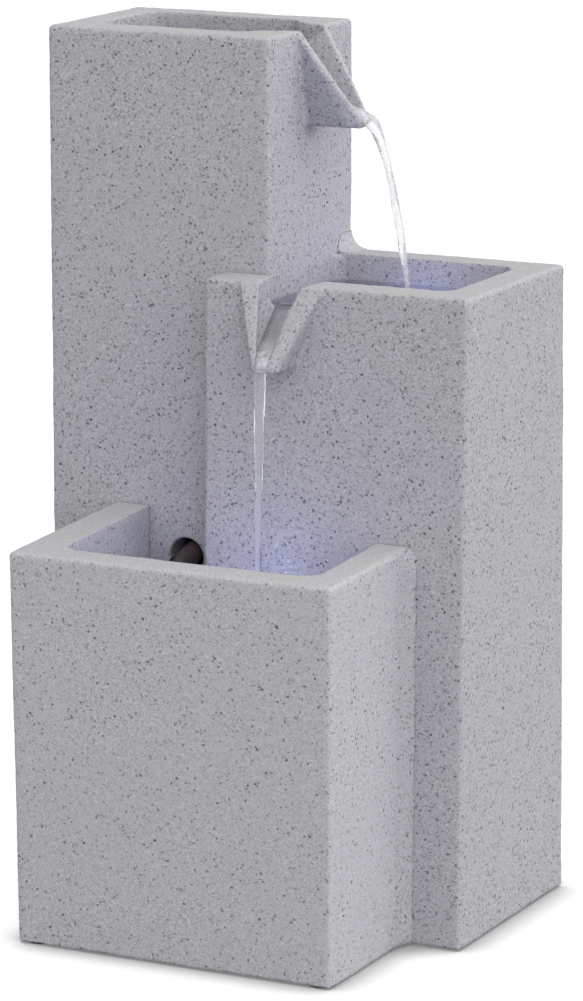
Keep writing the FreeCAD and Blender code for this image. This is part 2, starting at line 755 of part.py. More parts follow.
def rotor():
    axis = ("pump_y", "pump_z")
    bore = "rotor_shaft_radius + shaft_gap"
    keep("rotor_magnet", ring("magnet", ("magnet_left",) + axis, "magnet_radius", bore,
                              "impeller_hub_left - magnet_left", "x"))
    keep("rotor_shaft", cylinder("shaft", ("well_bottom",) + axis, "rotor_shaft_radius",
                                 "front_bush_left + bush_length - well_bottom", "x"))
    keep("rear_bush", ring("rear_bush_ring", ("well_bottom",) + axis, "well_radius - slip_gap", bore,
                           "bush_length", "x"))
    keep("front_bush", ring("front_bush_ring", ("front_bush_left",) + axis, "bush_radius - shaft_gap", bore,
                            "bush_length", "x"))
    impeller(bore)


def impeller(bore):
    """Disc with straight vanes patterned round the hub; the body's Z runs along the pump's axis."""
    body = doc.addObject("PartDesign::Body", "impeller_body")
    body.Placement = FreeCAD.Placement(FreeCAD.Vector(), TURNS["x"])
    seat(body, ("impeller_hub_left", "pump_y", "pump_z"))
    disc_pad(body, "impeller_hub_pad", "impeller_hub", "0", "vane_left + vane_height - impeller_hub_left")
    disc_pad(body, "impeller_disc_pad", "impeller_radius", "impeller_left - impeller_hub_left",
             "impeller_disc")
    vane_sketch = flat_sketch(body, "impeller_vane_sketch", "vane_left - impeller_hub_left")
    inner = "impeller_hub / 2"
    vane_rectangle(vane_sketch, inner, f"impeller_radius - vane_inset - {inner}", "vane_thickness")
    vane = body.newObject("PartDesign::Pad", "impeller_vane")
    vane.Profile = vane_sketch
    bind(vane, "Length", "vane_height")
    doc.recompute()
    pattern = body.newObject("PartDesign::PolarPattern", "impeller_vanes")
    pattern.Originals = [vane]
    pattern.Axis = (origin_feature(body, "Z_Axis"), [""])
    pattern.Angle = 360
    bind(pattern, "Occurrences", "vane_count")
    body.Tip = pattern
    doc.recompute()
    bore_sketch = flat_sketch(body, "impeller_bore_sketch", "0")
    circle(bore_sketch, bore)
    pocket = body.newObject("PartDesign::Pocket", "impeller_bore")
    pocket.Profile = bore_sketch
    pocket.Type = "ThroughAll"
    pocket.Reversed = True
    body.Tip = pocket
    doc.recompute()
    if pocket.Shape.Volume >= pattern.Shape.Volume:
        raise RuntimeError("the impeller's bore cut nothing")
    keep("impeller", body)


def origin_feature(body, role):
    return next(item for item in body.Origin.OriginFeatures if item.Role == role)


def flat_sketch(body, name, height):
    sketch = body.newObject("Sketcher::SketchObject", name)
    sketch.AttachmentSupport = [(origin_feature(body, "XY_Plane"), "")]
    sketch.MapMode = "FlatFace"
    bind(sketch, "AttachmentOffset.Base.z", height)
    return sketch


def circle(sketch, radius):
    sketch.addGeometry(Part.Circle(FreeCAD.Vector(), UP, 1.0))
    sketch.addConstraint(Sketcher.Constraint("Coincident", 0, 3, -1, 1))
    number = sketch.addConstraint(Sketcher.Constraint("Radius", 0, 1.0))
    bind(sketch, f"Constraints[{number}]", radius)


def disc_pad(body, name, radius, start, length):
    sketch = flat_sketch(body, name + "_sketch", start)
    circle(sketch, radius)
    pad = body.newObject("PartDesign::Pad", name)
    pad.Profile = sketch
    bind(pad, "Length", length)
    doc.recompute()


def vane_rectangle(sketch, start, length, thickness):
    """Rectangle that lies along the sketch's X axis, centred across it."""
    corners = [FreeCAD.Vector(x, y, 0) for x, y in ((2, -1), (9, -1), (9, 1), (2, 1))]
    for first, second in zip(corners, corners[1:] + corners[:1]):
        sketch.addGeometry(Part.LineSegment(first, second))
    for side in range(4):
        sketch.addConstraint(Sketcher.Constraint("Coincident", side, 2, (side + 1) % 4, 1))
    for side, direction in enumerate(("Horizontal", "Vertical", "Horizontal")):
        sketch.addConstraint(Sketcher.Constraint(direction, side))
    sketch.addConstraint(Sketcher.Constraint("Symmetric", 0, 1, 2, 2, -1))
    for kind, first, second, text in (("DistanceX", (-1, 1), (0, 1), start),
                                      ("DistanceX", (0, 1), (0, 2), length),
                                      ("DistanceY", (0, 1), (2, 2), thickness)):
        number = sketch.addConstraint(Sketcher.Constraint(kind, *first, *second, 2.0))
        bind(sketch, f"Constraints[{number}]", text)


def window_bores(name, start, length):
    places = [(f"pump_y {sign} window_ring", "pump_z") for sign in "+-"]
    places += [("pump_y", f"pump_z {sign} window_ring") for sign in "+-"]
    return [cylinder(name, (start, y, z), "window_radius", length, "x") for y, z in places]


def intake():
    axis = ("pump_y", "pump_z")
    block = box("grille_block", ("volute_right", "pump_y - pump_side / 2", "pump_bottom"),
                ("grille_length", "pump_side", "pump_side"))
    rounded = round_edges("grille_rounded", block, "pump_round", runs_along_x)
    inner = "pump_side - 2 * grille_wall"
    hollow = box("grille_hollow", ("volute_right - past", "pump_y - pump_side / 2 + grille_wall",
                                   "pump_bottom + grille_wall"),
                 ("grille_length - grille_wall + past", inner, inner))
    slot_extent = ("grille_length - 2 * grille_wall", "pump_side + 2 * past", "grille_slot")
    slots = [box("grille_slot", ("volute_right + grille_wall", "pump_y - pump_side / 2 - past",
                                 f"pump_z - grille_slot / 2 + {step} * 2 * grille_slot"), slot_extent)
             for step in SLOT_STEPS]
    pin = cylinder("dial_pin", ("grille_right - past",) + axis, "pin_radius",
                   "cap_left - grille_right + past", "x")
    pierced = cut("grille_pierced", rounded, hollow, *slots,
                  *window_bores("grille_window", "grille_right - grille_wall - past",
                                "grille_wall + 2 * past"))
    keep("intake_grille", fuse("grille_with_pin", pierced, pin))
    keep("dial_cap", cylinder("dial_cap_disc", ("cap_left",) + axis, "cap_radius", "cap_thickness", "x"))
    disc = cylinder("dial_disc", ("dial_left",) + axis, "dial_radius", "dial_thickness", "x")
    tab = box("dial_tab", ("dial_left", "pump_y - dial_tab / 2", "pump_z + dial_radius - past"),
              ("dial_thickness", "dial_tab", "dial_tab + past"))
    bore = cylinder("dial_bore", ("dial_left - past",) + axis, "pin_radius + slip_gap",
                    "dial_thickness + 2 * past", "x")
    keep("flow_dial", cut("dial_cut", fuse("dial_with_tab", disc, tab), bore,
                          *window_bores("dial_window", "dial_left - past", "dial_thickness + 2 * past")))


def suction_cups():
    across = "pump_side / 2 - cup_radius"
    rows = ("housing_left + cup_radius", "volute_right - cup_radius")
    cups = [cone("cup", (x, f"pump_y {sign} ({across})", "lower_basin_floor"), "cup_radius", "cup_neck",
                 "cup_height") for x in rows for sign in "+-"]
    keep("suction_cups", group("cup_group", *cups))


def stator():
    axis = ("pump_y", "pump_z")
    inner = "well_radius + well_wall + slip_gap"
    can = ring("core_can", ("core_left",) + axis, "core_radius", inner, "core_length", "x")
    groove = ring("core_groove", ("core_left + core_plate",) + axis, "coil_radius + slip_gap",
                  inner + " - past", "core_length - 2 * core_plate", "x")
    keep("stator_core", cut("core_cut", can, groove))
    keep("stator_coil", ring("coil", ("core_left + core_plate + slip_gap",) + axis, "coil_radius",
                             inner + " + slip_gap", "core_length - 2 * core_plate - 2 * slip_gap", "x"))


def water_way():
    route = points((("outlet_x", 0), ("pump_y", 0), ("spigot_bottom", 0)),
                   (("outlet_x", 0), ("pump_y", 0), ("spigot_bottom", 30)),
                   (("hose_x", 0), ("tower_front", -22), ("port_z", -54)),
                   (("hose_x", 0), ("tower_front", -22), ("hose_z", 0)),
                   (("hose_x", 0), ("tower_middle", 0), ("hose_z", 0)),
                   (("hose_x", 0), ("tower_middle", 0), ("stem_bottom", 0)))
    tube("riser_hose", route, (29.0, 29.0, 30.0, 26.0), value("hose_diameter") / 2, value("hose_bore") / 2)
    inner = "hose_diameter / 2 + slip_gap"
    outer = "hose_diameter / 2 + slip_gap + clamp_thickness"
    lower = ring("lower_clamp", ("outlet_x", "pump_y", "spigot_bottom + clamp_width / 2"), outer, inner,
                 "clamp_width")
    upper = ring("upper_clamp", ("hose_x", "tower_middle", "stem_bottom - 1.5 * clamp_width"), outer, inner,
                 "clamp_width")
    keep("hose_clamps", group("clamp_group", lower, upper))
    spot = ("hose_x", "tower_middle")
    flange = cylinder("nipple_flange", spot + ("flange_bottom",), "flange_diameter / 2", "flange_thickness")
    stem = cylinder("nipple_stem", spot + ("stem_bottom",), "stem_diameter / 2",
                    "flange_bottom - stem_bottom + past")
    tail = cylinder("nipple_tail", spot + ("stem_bottom - tail_length",), "hose_tail_radius",
                    "tail_length + past")
    passage = cylinder("nipple_passage", spot + ("stem_bottom - tail_length - past",), "water_bore / 2",
                       "flange_bottom + flange_thickness - stem_bottom + tail_length + 2 * past")
    keep("hose_nipple", cut("nipple_cut", fuse("nipple_turned", flange, stem, tail), passage))
    keep("nipple_washer", ring("washer", spot + ("tower_basin_floor",), "flange_diameter / 2",
                               "stem_diameter / 2 + slip_gap", "washer_thickness"))
    nut = hexagon("nipple_nut_blank", spot + ("shaft_top - nut_thickness",), "nut_radius", "nut_thickness")
    nut_bore = cylinder("nipple_nut_bore", spot + ("shaft_top - nut_thickness - past",),
                        "stem_diameter / 2 + shaft_gap", "nut_thickness + 2 * past")
    keep("nipple_nut", cut("nipple_nut_cut", nut, nut_bore))


def lamp(name, x, y, floor, cable_exit):
    """Sealed lamp: cup, board with four chips, gasket and domed lens, stacked on one axis."""
    spot = (x, y)
    board_seat = f"{floor} + board_height"
    cup = cylinder(name + "_cup", spot + (floor,), "lamp_radius", "lamp_height")
    board_room = cylinder(name + "_board_room", spot + (board_seat,), "lamp_radius - lamp_wall",
                          "lamp_height")
    wire_room = cylinder(name + "_wire_room", spot + (f"{floor} + lamp_base",),
                         "lamp_radius - lamp_wall - lamp_ledge", "lamp_height")
    exits = {
        "below": cylinder(name + "_exit", spot + (f"{floor} - past",), "cable_hole", "lamp_base + 2 * past"),
        "behind": cylinder(name + "_exit", (x, y, f"{floor} + lamp_cable_height"), "cable_hole",
                           "lamp_radius + past", "y"),
    }
    keep(name + "_body", cut(name + "_body_cut", cup, board_room, wire_room, exits[cable_exit]))
    board = cylinder(name + "_disc", spot + (board_seat,), "lamp_radius - lamp_wall - slip_gap",
                     "board_thickness")
    chip_extent = ("chip_side", "chip_side", "board_thickness + chip_height")
    chips = [box(name + "_chip", (f"{x} + {across} * chip_ring - chip_side / 2",
                                  f"{y} + {along} * chip_ring - chip_side / 2", board_seat), chip_extent)
             for across, along in ((1, 0), (-1, 0), (0, 1), (0, -1))]
    keep(name + "_board", fuse(name + "_board_chips", board, *chips))
    rim = f"{floor} + lamp_height"
    keep(name + "_gasket", ring(name + "_seal", spot + (rim,), "lamp_radius", "lamp_radius - lamp_wall",
                                "gasket_thickness"))
    flat = cylinder(name + "_lens_rim", spot + (f"{rim} + gasket_thickness",), "lamp_radius", "lens_rim")
    dome = cone(name + "_lens_dome", spot + (f"{rim} + gasket_thickness + lens_rim",), "lamp_radius",
                "lamp_radius - lens_dome", "lens_dome")
    keep(name + "_lens", fuse(name + "_lens_turned", flat, dome))


def cables():
    radius = value("cable_radius")
    pump_route = points((("pump_cable_x", 0), ("pump_y", 0), ("pump_top", -value("housing_wall"))),
                        (("pump_cable_x", 0), ("pump_y", 0), ("pump_top", 32)),
                        (("pump_cable_x", 0), ("tower_front", -15), ("port_z", -42)),
                        (("pump_cable_x", 0), ("tower_front", -15), ("pump_cable_z", 0)),
                        (("pump_cable_x", 0), ("pump_entry_y", 0), ("pump_cable_z", 0)),
                        (("pump_cable_x", 0), ("pump_entry_y", 0), ("splice_top", -value("splice_wall"))))
    tube("pump_cable", pump_route, (26.0, 26.0, 18.0, 30.0), radius)
    lamp_level = ("lower_basin_floor", value("lamp_cable_height"))
    lamp_route = points((("lower_lamp_x", 0), ("lower_lamp_y", value("lamp_radius") - value("lamp_wall")),
                         lamp_level),
                        (("lower_lamp_x", 0), ("tower_front", -27), lamp_level),
                        (("lamp_cable_x", 18), ("tower_front", -27), lamp_level),
                        (("lamp_cable_x", 0), ("tower_front", -12), ("lower_basin_floor", 32)),
                        (("lamp_cable_x", 0), ("tower_front", -12), ("lamp_cable_z", 0)),
                        (("lamp_cable_x", 0), ("splice_y", 0), ("lamp_cable_z", 0)),
                        (("lamp_cable_x", 0), ("splice_y", 0), ("splice_top", -value("splice_wall"))))
    tube("lower_lamp_cable", lamp_route, (9.0, 20.0, 26.0, 12.0, 30.0), radius)
    middle_route = points((("middle_lamp_x", 0), ("splice_y", 0),
                           ("middle_basin_floor", value("lamp_base"))),
                          (("middle_lamp_x", 0), ("splice_y", 0), ("splice_z", 0)),
                          (("splice_left", value("splice_width") - value("splice_wall")), ("splice_y", 0),
                           ("splice_z", 0)))
    tube("middle_lamp_cable", middle_route, (30.0,), radius)
    socket_route = points((("socket_x", 0), ("socket_entry_y", 0), ("splice_low", value("splice_wall"))),
                          (("socket_x", 0), ("socket_entry_y", 0), ("socket_z", 0)),
                          (("socket_x", 0), ("tower_back", -value("socket_length")), ("socket_z", 0)))
    tube("socket_lead", socket_route, (13.0,), radius)
    keep("wall_grommet", ring("wall_grommet_ring", ("tower_right - tower_wall", "splice_y", "splice_z"),
                              "grommet_diameter / 2", "cable_hole", "tower_wall", "x"))
    keep("floor_grommet", ring("floor_grommet_ring", ("middle_lamp_x", "splice_y", "middle_hollow_top"),
                               "grommet_diameter / 2", "cable_hole", "middle_floor"))


def splice():
    """Splice box against the shaft's back wall, its lid towards the front, held by one screw."""
    block = box("splice_block", ("splice_left", "splice_front + splice_wall", "splice_low"),
                ("splice_width", "splice_depth - splice_wall", "splice_height"))
    room = box("splice_room", ("splice_left + splice_wall", "splice_front", "splice_low + splice_wall"),
               ("splice_width - 2 * splice_wall", "splice_depth - splice_wall",
                "splice_height - 2 * splice_wall"))
    top = "splice_top - splice_wall - past"
    bottom = "splice_low - past"
    right = "splice_left + splice_width - splice_wall - past"
    through = "splice_wall + 2 * past"
    bores = [cylinder("splice_bore", ("pump_cable_x", "pump_entry_y", top), "cable_hole", through),
             cylinder("splice_bore", ("lamp_cable_x", "splice_y", top), "cable_hole", through),
             cylinder("splice_bore", ("socket_x", "socket_entry_y", bottom), "cable_hole", through),
             cylinder("splice_bore", (right, "splice_y", "splice_z"), "cable_hole", through, "x")]
    screw_x = "splice_left + splice_wall + screw_head_radius"
    post_side = "2 * screw_head_radius"
    post = box("splice_post", ("splice_left + splice_wall", "splice_front + splice_wall",
                               "splice_z - screw_head_radius"),
               (post_side, "screw_grip + splice_wall", post_side))

    def turned(name, start, radius, length):
        return cylinder(name, (screw_x, start, "splice_z"), radius, length, "y")

    screw_bore = turned("splice_screw_bore", "splice_front - past", "screw_radius + slip_gap",
                        "splice_wall + screw_grip + 2 * past")
    shell = cut("splice_shell", block, room, *bores)
    keep("splice_box", cut("splice_box_cut", fuse("splice_with_post", shell, post), screw_bore))
    lid = box("splice_lid_plate", ("splice_left", "splice_front", "splice_low"),
              ("splice_width", "splice_wall", "splice_height"))
    keep("splice_lid", cut("splice_lid_cut", lid, screw_bore))
    shank = turned("splice_screw_shank", "splice_front", "screw_radius", "splice_wall + screw_grip")
    head = turned("splice_screw_head", "splice_front - screw_head_height", "screw_head_radius",
                  "screw_head_height")
    keep("splice_screw", fuse("splice_screw_turned", shank, head))


def power_inlet():
    spot = ("socket_x", "socket_z")

    def turned(name, start, radius, length):
        return cylinder(name, (spot[0], start, spot[1]), radius, length, "y")

    flange = turned("socket_flange", "tower_back", "socket_flange", "socket_flange_thickness")
    barrel = turned("socket_barrel", "tower_back - socket_length", "socket_radius", "socket_length + past")
    face = "tower_back + socket_flange_thickness"
    bore = turned("socket_bore", face + " - socket_bore_depth", "socket_bore", "socket_bore_depth + past")
    pin = turned("socket_pin", face + " - socket_bore_depth - past", "socket_pin", "socket_bore_depth")
    opened = cut("socket_open", fuse("socket_turned", flange, barrel), bore)
    keep("power_socket", fuse("socket_with_pin", opened, pin))
    nut = hexagon("socket_nut_blank", (spot[0], "socket_web_inside - socket_nut_thickness", spot[1]),
                  "socket_flange", "socket_nut_thickness", "y")
    nut_bore = turned("socket_nut_bore", "socket_web_inside - socket_nut_thickness - past",
                      "socket_radius + shaft_gap", "socket_nut_thickness + 2 * past")
    keep("socket_nut", cut("socket_nut_cut", nut, nut_bore))


def write_parts():
    """Stop on any failed object or shape, then write one file per sub-part."""
    doc.recompute()
    failed = [item.Name for item in doc.Objects if {"Invalid", "Error"} & set(item.State)]
    if failed:
        raise RuntimeError(f"objects that failed: {failed}")
    bad = [item.Label for item in sub_parts if item.Shape.isNull() or not item.Shape.isValid()]
    if bad:
        raise RuntimeError(f"shapes that are empty or invalid: {bad}")
    os.makedirs("parts", exist_ok=True)
    for item in sub_parts:
        item.Shape.exportStep(f"parts/{item.Label}.step")
        print(f"{item.Label}: {len(item.Shape.Solids)} solids, {item.Shape.Volume / 1000:.2f} cm3")


fill_sheets()
tower_casting()
middle_casting()
lower_basin_casting()
joint_beads()
rubber_feet()
pump_shell()
volute()
rotor()
intake()
suction_cups()
stator()
water_way()
lamp("middle_lamp", "middle_lamp_x", "splice_y", "middle_basin_floor", "below")
lamp("lower_lamp", "lower_lamp_x", "lower_lamp_y", "lower_basin_floor", "behind")
cables()
splice()
power_inlet()
write_parts()
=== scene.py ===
import json
import math
import random

import bmesh
import bpy
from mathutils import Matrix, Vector

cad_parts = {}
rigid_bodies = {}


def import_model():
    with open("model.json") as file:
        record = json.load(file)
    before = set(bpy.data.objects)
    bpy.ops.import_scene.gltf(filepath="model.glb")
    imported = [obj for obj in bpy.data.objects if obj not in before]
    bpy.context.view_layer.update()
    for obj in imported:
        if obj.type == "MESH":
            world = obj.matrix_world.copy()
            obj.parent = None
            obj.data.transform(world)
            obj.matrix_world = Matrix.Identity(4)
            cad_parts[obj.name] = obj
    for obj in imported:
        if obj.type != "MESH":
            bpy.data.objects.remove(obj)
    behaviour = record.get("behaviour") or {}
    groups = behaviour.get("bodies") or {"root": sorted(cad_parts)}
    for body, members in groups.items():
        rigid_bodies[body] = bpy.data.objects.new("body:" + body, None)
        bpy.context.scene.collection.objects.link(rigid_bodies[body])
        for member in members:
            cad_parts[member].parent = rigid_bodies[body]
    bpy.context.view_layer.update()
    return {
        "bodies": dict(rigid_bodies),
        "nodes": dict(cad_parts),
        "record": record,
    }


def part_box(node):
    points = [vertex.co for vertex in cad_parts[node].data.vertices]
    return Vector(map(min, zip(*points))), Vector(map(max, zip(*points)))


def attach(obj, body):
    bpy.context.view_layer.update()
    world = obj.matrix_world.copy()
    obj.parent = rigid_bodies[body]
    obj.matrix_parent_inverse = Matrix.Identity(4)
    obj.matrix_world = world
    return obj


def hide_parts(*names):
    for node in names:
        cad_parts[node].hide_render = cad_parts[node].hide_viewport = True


# Looks of the indoor fountain: cast granite-look stone, falling water, pools, and lamps under the water.
# Metres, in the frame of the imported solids: +Z up, front towards -Y.

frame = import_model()
nodes = frame["nodes"]
scene = bpy.context.scene
MM = 0.001
GRAVITY = 9.81
UP = Vector((0, 0, 1))
TO_RIGHT = Vector((1, 0, 0))
TO_FRONT = Vector((0, -1, 0))

# Camera that fits the photograph's edges, angles in degrees
CAMERA_PLACE = (957.4 * MM, -1871.2 * MM, 650.7 * MM)
CAMERA_YAW = 26.71
CAMERA_PITCH = 12.32
CAMERA_SIGHT = 50.0
FOCAL_PIXELS = 4771.0
LONG_SIDE_PIXELS = 1001.0
SENSOR = 36.0

# Light tent: brightness grows along the slope, which points right, a little to the front and up
TENT_LEVEL = 0.98
TENT_SLOPE = (0.78, -0.08, 0.10)

# Floor: what it throws back on the object, what it shows, and its shade close to the object
FLOOR_HALF = 12.0
FLOOR_BOUNCE = ((0.36, 0.36, 0.36), (0.38, 0.38, 0.38))
FLOOR_SEEN = (0.18, 0.18, 0.18)
FLOOR_GLOW = (0.20, 0.90)
WHITE = (1.0, 1.0, 1.0)
CONTACT_SHADE = 22.0 * MM
CONTACT_RANGE = (0.30, 0.97)
SHADE_LEAN = (-0.62, 0.12, 0.77)
SHADE_SAMPLES = 8

# Faces of the castings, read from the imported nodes
tower_low, tower_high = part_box("tower_casting")
middle_low, middle_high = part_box("middle_casting")
lower_low, lower_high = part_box("lower_basin_casting")

# Walls and leans, as in the solids
TOWER_WALL = 17.0 * MM
MIDDLE_WALL = 17.0 * MM
LOWER_WALL = 16.0 * MM
BASIN_CORNER = 9.0 * MM
MIDDLE_FRONT = -16.5 * MM
MIDDLE_LEAN = 4.0 * MM
LOWER_LEAN = 3.0 * MM
LOWER_RIM_RISE = 3.8 * MM
LOWER_LEFT = lower_low.x + LOWER_LEAN

# Spouts and their channels, as in the solids
TOWER_SPOUT = {
    "wall": TOWER_WALL,
    "reach": 27.0 * MM,
    "drop": 44.0 * MM,
    "width": 32.5 * MM,
    "mouth": 37.0 * MM,
}
MIDDLE_SPOUT = {
    "wall": MIDDLE_WALL,
    "reach": 21.0 * MM,
    "drop": 37.0 * MM,
    "width": 43.0 * MM,
    "mouth": 28.0 * MM,
}
SPOUT_KEEL = 14.0 * MM
SPOUT_LIP = 4.0 * MM
SPOUT_RIM = 5.0 * MM
SPOUT_TIP = 9.6 * MM
CHANNEL_WIDTH = 22.5 * MM
CHANNEL_TIP = 3.6 * MM
CHANNEL_ENTRY = 14.0 * MM
CHANNEL_LIP = 2.0 * MM
CUT_PAST = 1.0 * MM
TOWER_RIGHT = tower_high.x - TOWER_SPOUT["reach"]
TOWER_SPOUT_Y = (tower_low.y + tower_high.y) / 2
MIDDLE_SPOUT_X = 19.5 * MM
tower_spout = Vector((TOWER_RIGHT, TOWER_SPOUT_Y, tower_high.z))
middle_spout = Vector((MIDDLE_SPOUT_X, MIDDLE_FRONT, middle_high.z))

# Meshes of the castings; the relief's patterns have a name, a size and a height, and lie mostly inwards
CAST_VOXEL = 0.8 * MM
CAST_SOFTEN = 0.5
CAST_SOFTEN_ROUNDS = 2
CAST_RELIEF = (("lumps", 26.0 * MM, 0.6 * MM), ("grain", 2.6 * MM, 0.4 * MM))
RELIEF_MIDDLE = 0.85
MOST_FACES = 180000

# Right-hand shoulder of the middle spout: the rim's edge, fuller than the solid's long roll
SHOULDER_STEPS = 40
SHOULDER_ARC_STEPS = 8
SHOULDER_FILL = 3.5 * MM
SHOULDER_ROUND = 4.0 * MM
SHOULDER_ROLL = 11.0 * MM
SHOULDER_FADE = 12.0 * MM

# Coved beads: the arc sinks into both faces at its ends; the side bead meets the column at a crease
COVE_RADIUS = 11.0 * MM
COVE_SUNK = 0.6 * MM
COVE_SWEEP = math.pi / 2
COVE_ARC_STEPS = 10
COVE_JITTER = 0.02
SIDE_STEPS = 70
SIDE_RADIUS = 25.0 * MM
SIDE_SWEEP = math.radians(35.0)
SIDE_BELOW_RIM = 0.6 * MM
RIM_FALL_AT_COLUMN = 0.25
SIDE_TOP = lower_high.z - LOWER_RIM_RISE * RIM_FALL_AT_COLUMN - SIDE_BELOW_RIM
SIDE_WAVE = 0.05
SIDE_WAVES = 41.0
SIDE_JITTER = 0.03
SIDE_LEAST = 0.12
BEAD_FADE = 0.045
RIM_STEPS = 14
RIM_START = tower_high.y - MIDDLE_WALL + 0.5 * MM
RIM_END = tower_high.y - 1.0 * MM
RIM_LEAST = 0.2
RIM_MOST = 0.75
RIM_GROWTH = 2.2
INNER_STEPS = 20
INNER_SCALE = 0.45
INNER_BELOW_RIM = 1.0 * MM
BASIN_DEPTH = 44.0 * MM

# Water levels, and water in the channels
WATER_OVER_ENTRY = 1.6 * MM
LIP_WATER = 2.4 * MM
TOWER_LEVEL = tower_high.z - CHANNEL_ENTRY + WATER_OVER_ENTRY
MIDDLE_LEVEL = middle_high.z - CHANNEL_ENTRY + WATER_OVER_ENTRY
LOWER_LEVEL = 140.0 * MM
CHANNEL_SINK = 0.3 * MM
CHANNEL_STEPS = 36
CHANNEL_COLUMNS = 10
CHANNEL_CREST = 0.12 * MM
CREST_ALONG = 9.0
CREST_ACROSS = 7.0
CHANNEL_DISH = 0.3

# Falling streams: the piece behind the lip, the rings, and three waves on the skin
BACK_STEPS = 4
BACK_LENGTH = 5.0 * MM
BACK_RISE = 0.5
STREAM_STEPS = 90
STREAM_SIDES = 20
STREAM_CROWDING = 1.35
STREAM_LEAST_SPEED = 0.04
RING_START = Vector((0.3, 1.0, 0.0))
TWIST_SWELL, TWIST_WAVES = 0.16, 9.0
FOLD_SWELL, FOLD_WAVES = 0.07, 21.0
BEAD_SWELL, BEAD_WAVES = 0.06, 46.0
STREAM_DIP = 1.0 * MM
UPPER_STREAM = {"speed": 0.17, "radius": 3.2 * MM, "lead": 1.5 * MM, "over_floor": 1.6 * MM}
LOWER_STREAM = {"speed": 0.02, "radius": 2.75 * MM, "lead": 8.0 * MM, "over_floor": 0.8 * MM}

# Pools: rings of points from a hub to the walls, ripples round the landing point, and a calm swell
POOL_GAP = 2.2 * MM
POOL_RINGS = 34
POOL_CORNER_STEPS = 6
INTO_WALL = 0.8 * MM
RIPPLE_HEIGHT = 0.55 * MM
RIPPLE_LENGTH = 9.0 * MM
RIPPLE_FADE = 24.0 * MM
CALM_HEIGHT = 0.10 * MM
CALM_ALONG_X = 260.0
CALM_ALONG_Y = 310.0
NIPPLE_X = -37.4 * MM
LOWER_HUB = Vector((-35.0 * MM, -45.0 * MM))
MIDDLE_FACE = MIDDLE_FRONT - 1.5 * MM

# Splash drops on the middle column
DROP_COUNT = 30
DROP_MIDDLE, DROP_SPREAD = 20.0 * MM, 5.0 * MM
DROP_LOWEST, DROP_HIGHEST = 156.0 * MM, 178.0 * MM
DROP_LEAST, DROP_MOST = 0.35 * MM, 0.95 * MM
DROP_FLATTEN = 0.45
DROP_SAG = 0.25

# Glow of the lamps, watts
GLOW = (0.52, 0.56, 1.0)
GLOW_SIZE = 6.0 * MM
LOWER_GLOW_PLACE = (14.0 * MM, -56.0 * MM, LOWER_LEVEL + 14.0 * MM)
LOWER_GLOW_POWER = 0.032
MIDDLE_GLOW_PLACE = (50.0 * MM, 52.0 * MM, MIDDLE_LEVEL - 4.0 * MM)
MIDDLE_GLOW_POWER = 0.0045

# Stone: patterns per millimetre, relief, and linear colours of the grain, the clouds, and the coat of lime
# and painted top light on faces that look up
STONE_TURN = (0.5, 0.75, 0.3)
GRAIN_SCALE = 1.1
CLOUD_SCALE = 0.022
LIME_SCALE = 0.035
PATCH_SCALE = 0.10
PIT_SCALE = 0.45
WANDER_SCALE = 1.5
FLECK_WANDER = 2.2
STONE_BUMP = 0.55
STONE_BUMP_DEPTH = 0.7 * MM
STONE_ROUGHNESS = (0.78, 0.95)
STONE_SPECULAR = 0.30
GRAIN_DARK = (0.375, 0.37, 0.405)
GRAIN_PALE = (0.60, 0.59, 0.63)
CLOUD_TINT = (0.49, 0.48, 0.525)
FILM_AND_TOP_LIGHT_DARK = (0.42, 0.415, 0.43)
FILM_AND_TOP_LIGHT_PALE = (0.57, 0.565, 0.585)
LIME_TINT = (0.50, 0.50, 0.44)

# Layers of flecks: cells per millimetre, share of the cells that hold a fleck, least and greatest radius
# in cells, the faintest fleck, and the strength and colour of the layer
PALE_FLECKS = {"cells": 0.70, "share": 0.34, "radius": (0.14, 0.36), "faintest": 0.3,
               "strength": 0.6, "tint": (0.72, 0.72, 0.74)}
FINE_FLECKS = {"cells": 1.05, "share": 0.50, "radius": (0.16, 0.42), "faintest": 0.2,
               "strength": 0.7, "tint": (0.24, 0.235, 0.26)}
GREY_FLECKS = {"cells": 0.60, "share": 0.52, "radius": (0.14, 0.42), "faintest": 0.2,
               "strength": 0.85, "tint": (0.19, 0.185, 0.21)}
DARK_FLECKS = {"cells": 0.52, "share": 0.36, "radius": (0.10, 0.36), "faintest": 0.35,
               "strength": 0.9, "tint": (0.075, 0.070, 0.085)}

# Painted shade on a spout's sides, in millimetres: where it sets in below the rim, off the wall and round the
# edge
SPOUT_SHADE_TINT = (0.79, 0.80, 0.90)
SPOUT_SHADE_BELOW_RIM = (1.5, 4.0)
SPOUT_SHADE_OFF_WALL = (0.5, 2.5)
SPOUT_SHADE_ROUND_EDGE = (-1.5, 0.5)

# Water in linear colours
WATER_IOR = 1.333
WATER_TINT = (0.97, 0.98, 1.0)
POOL_TINT = (0.93, 0.96, 1.0)


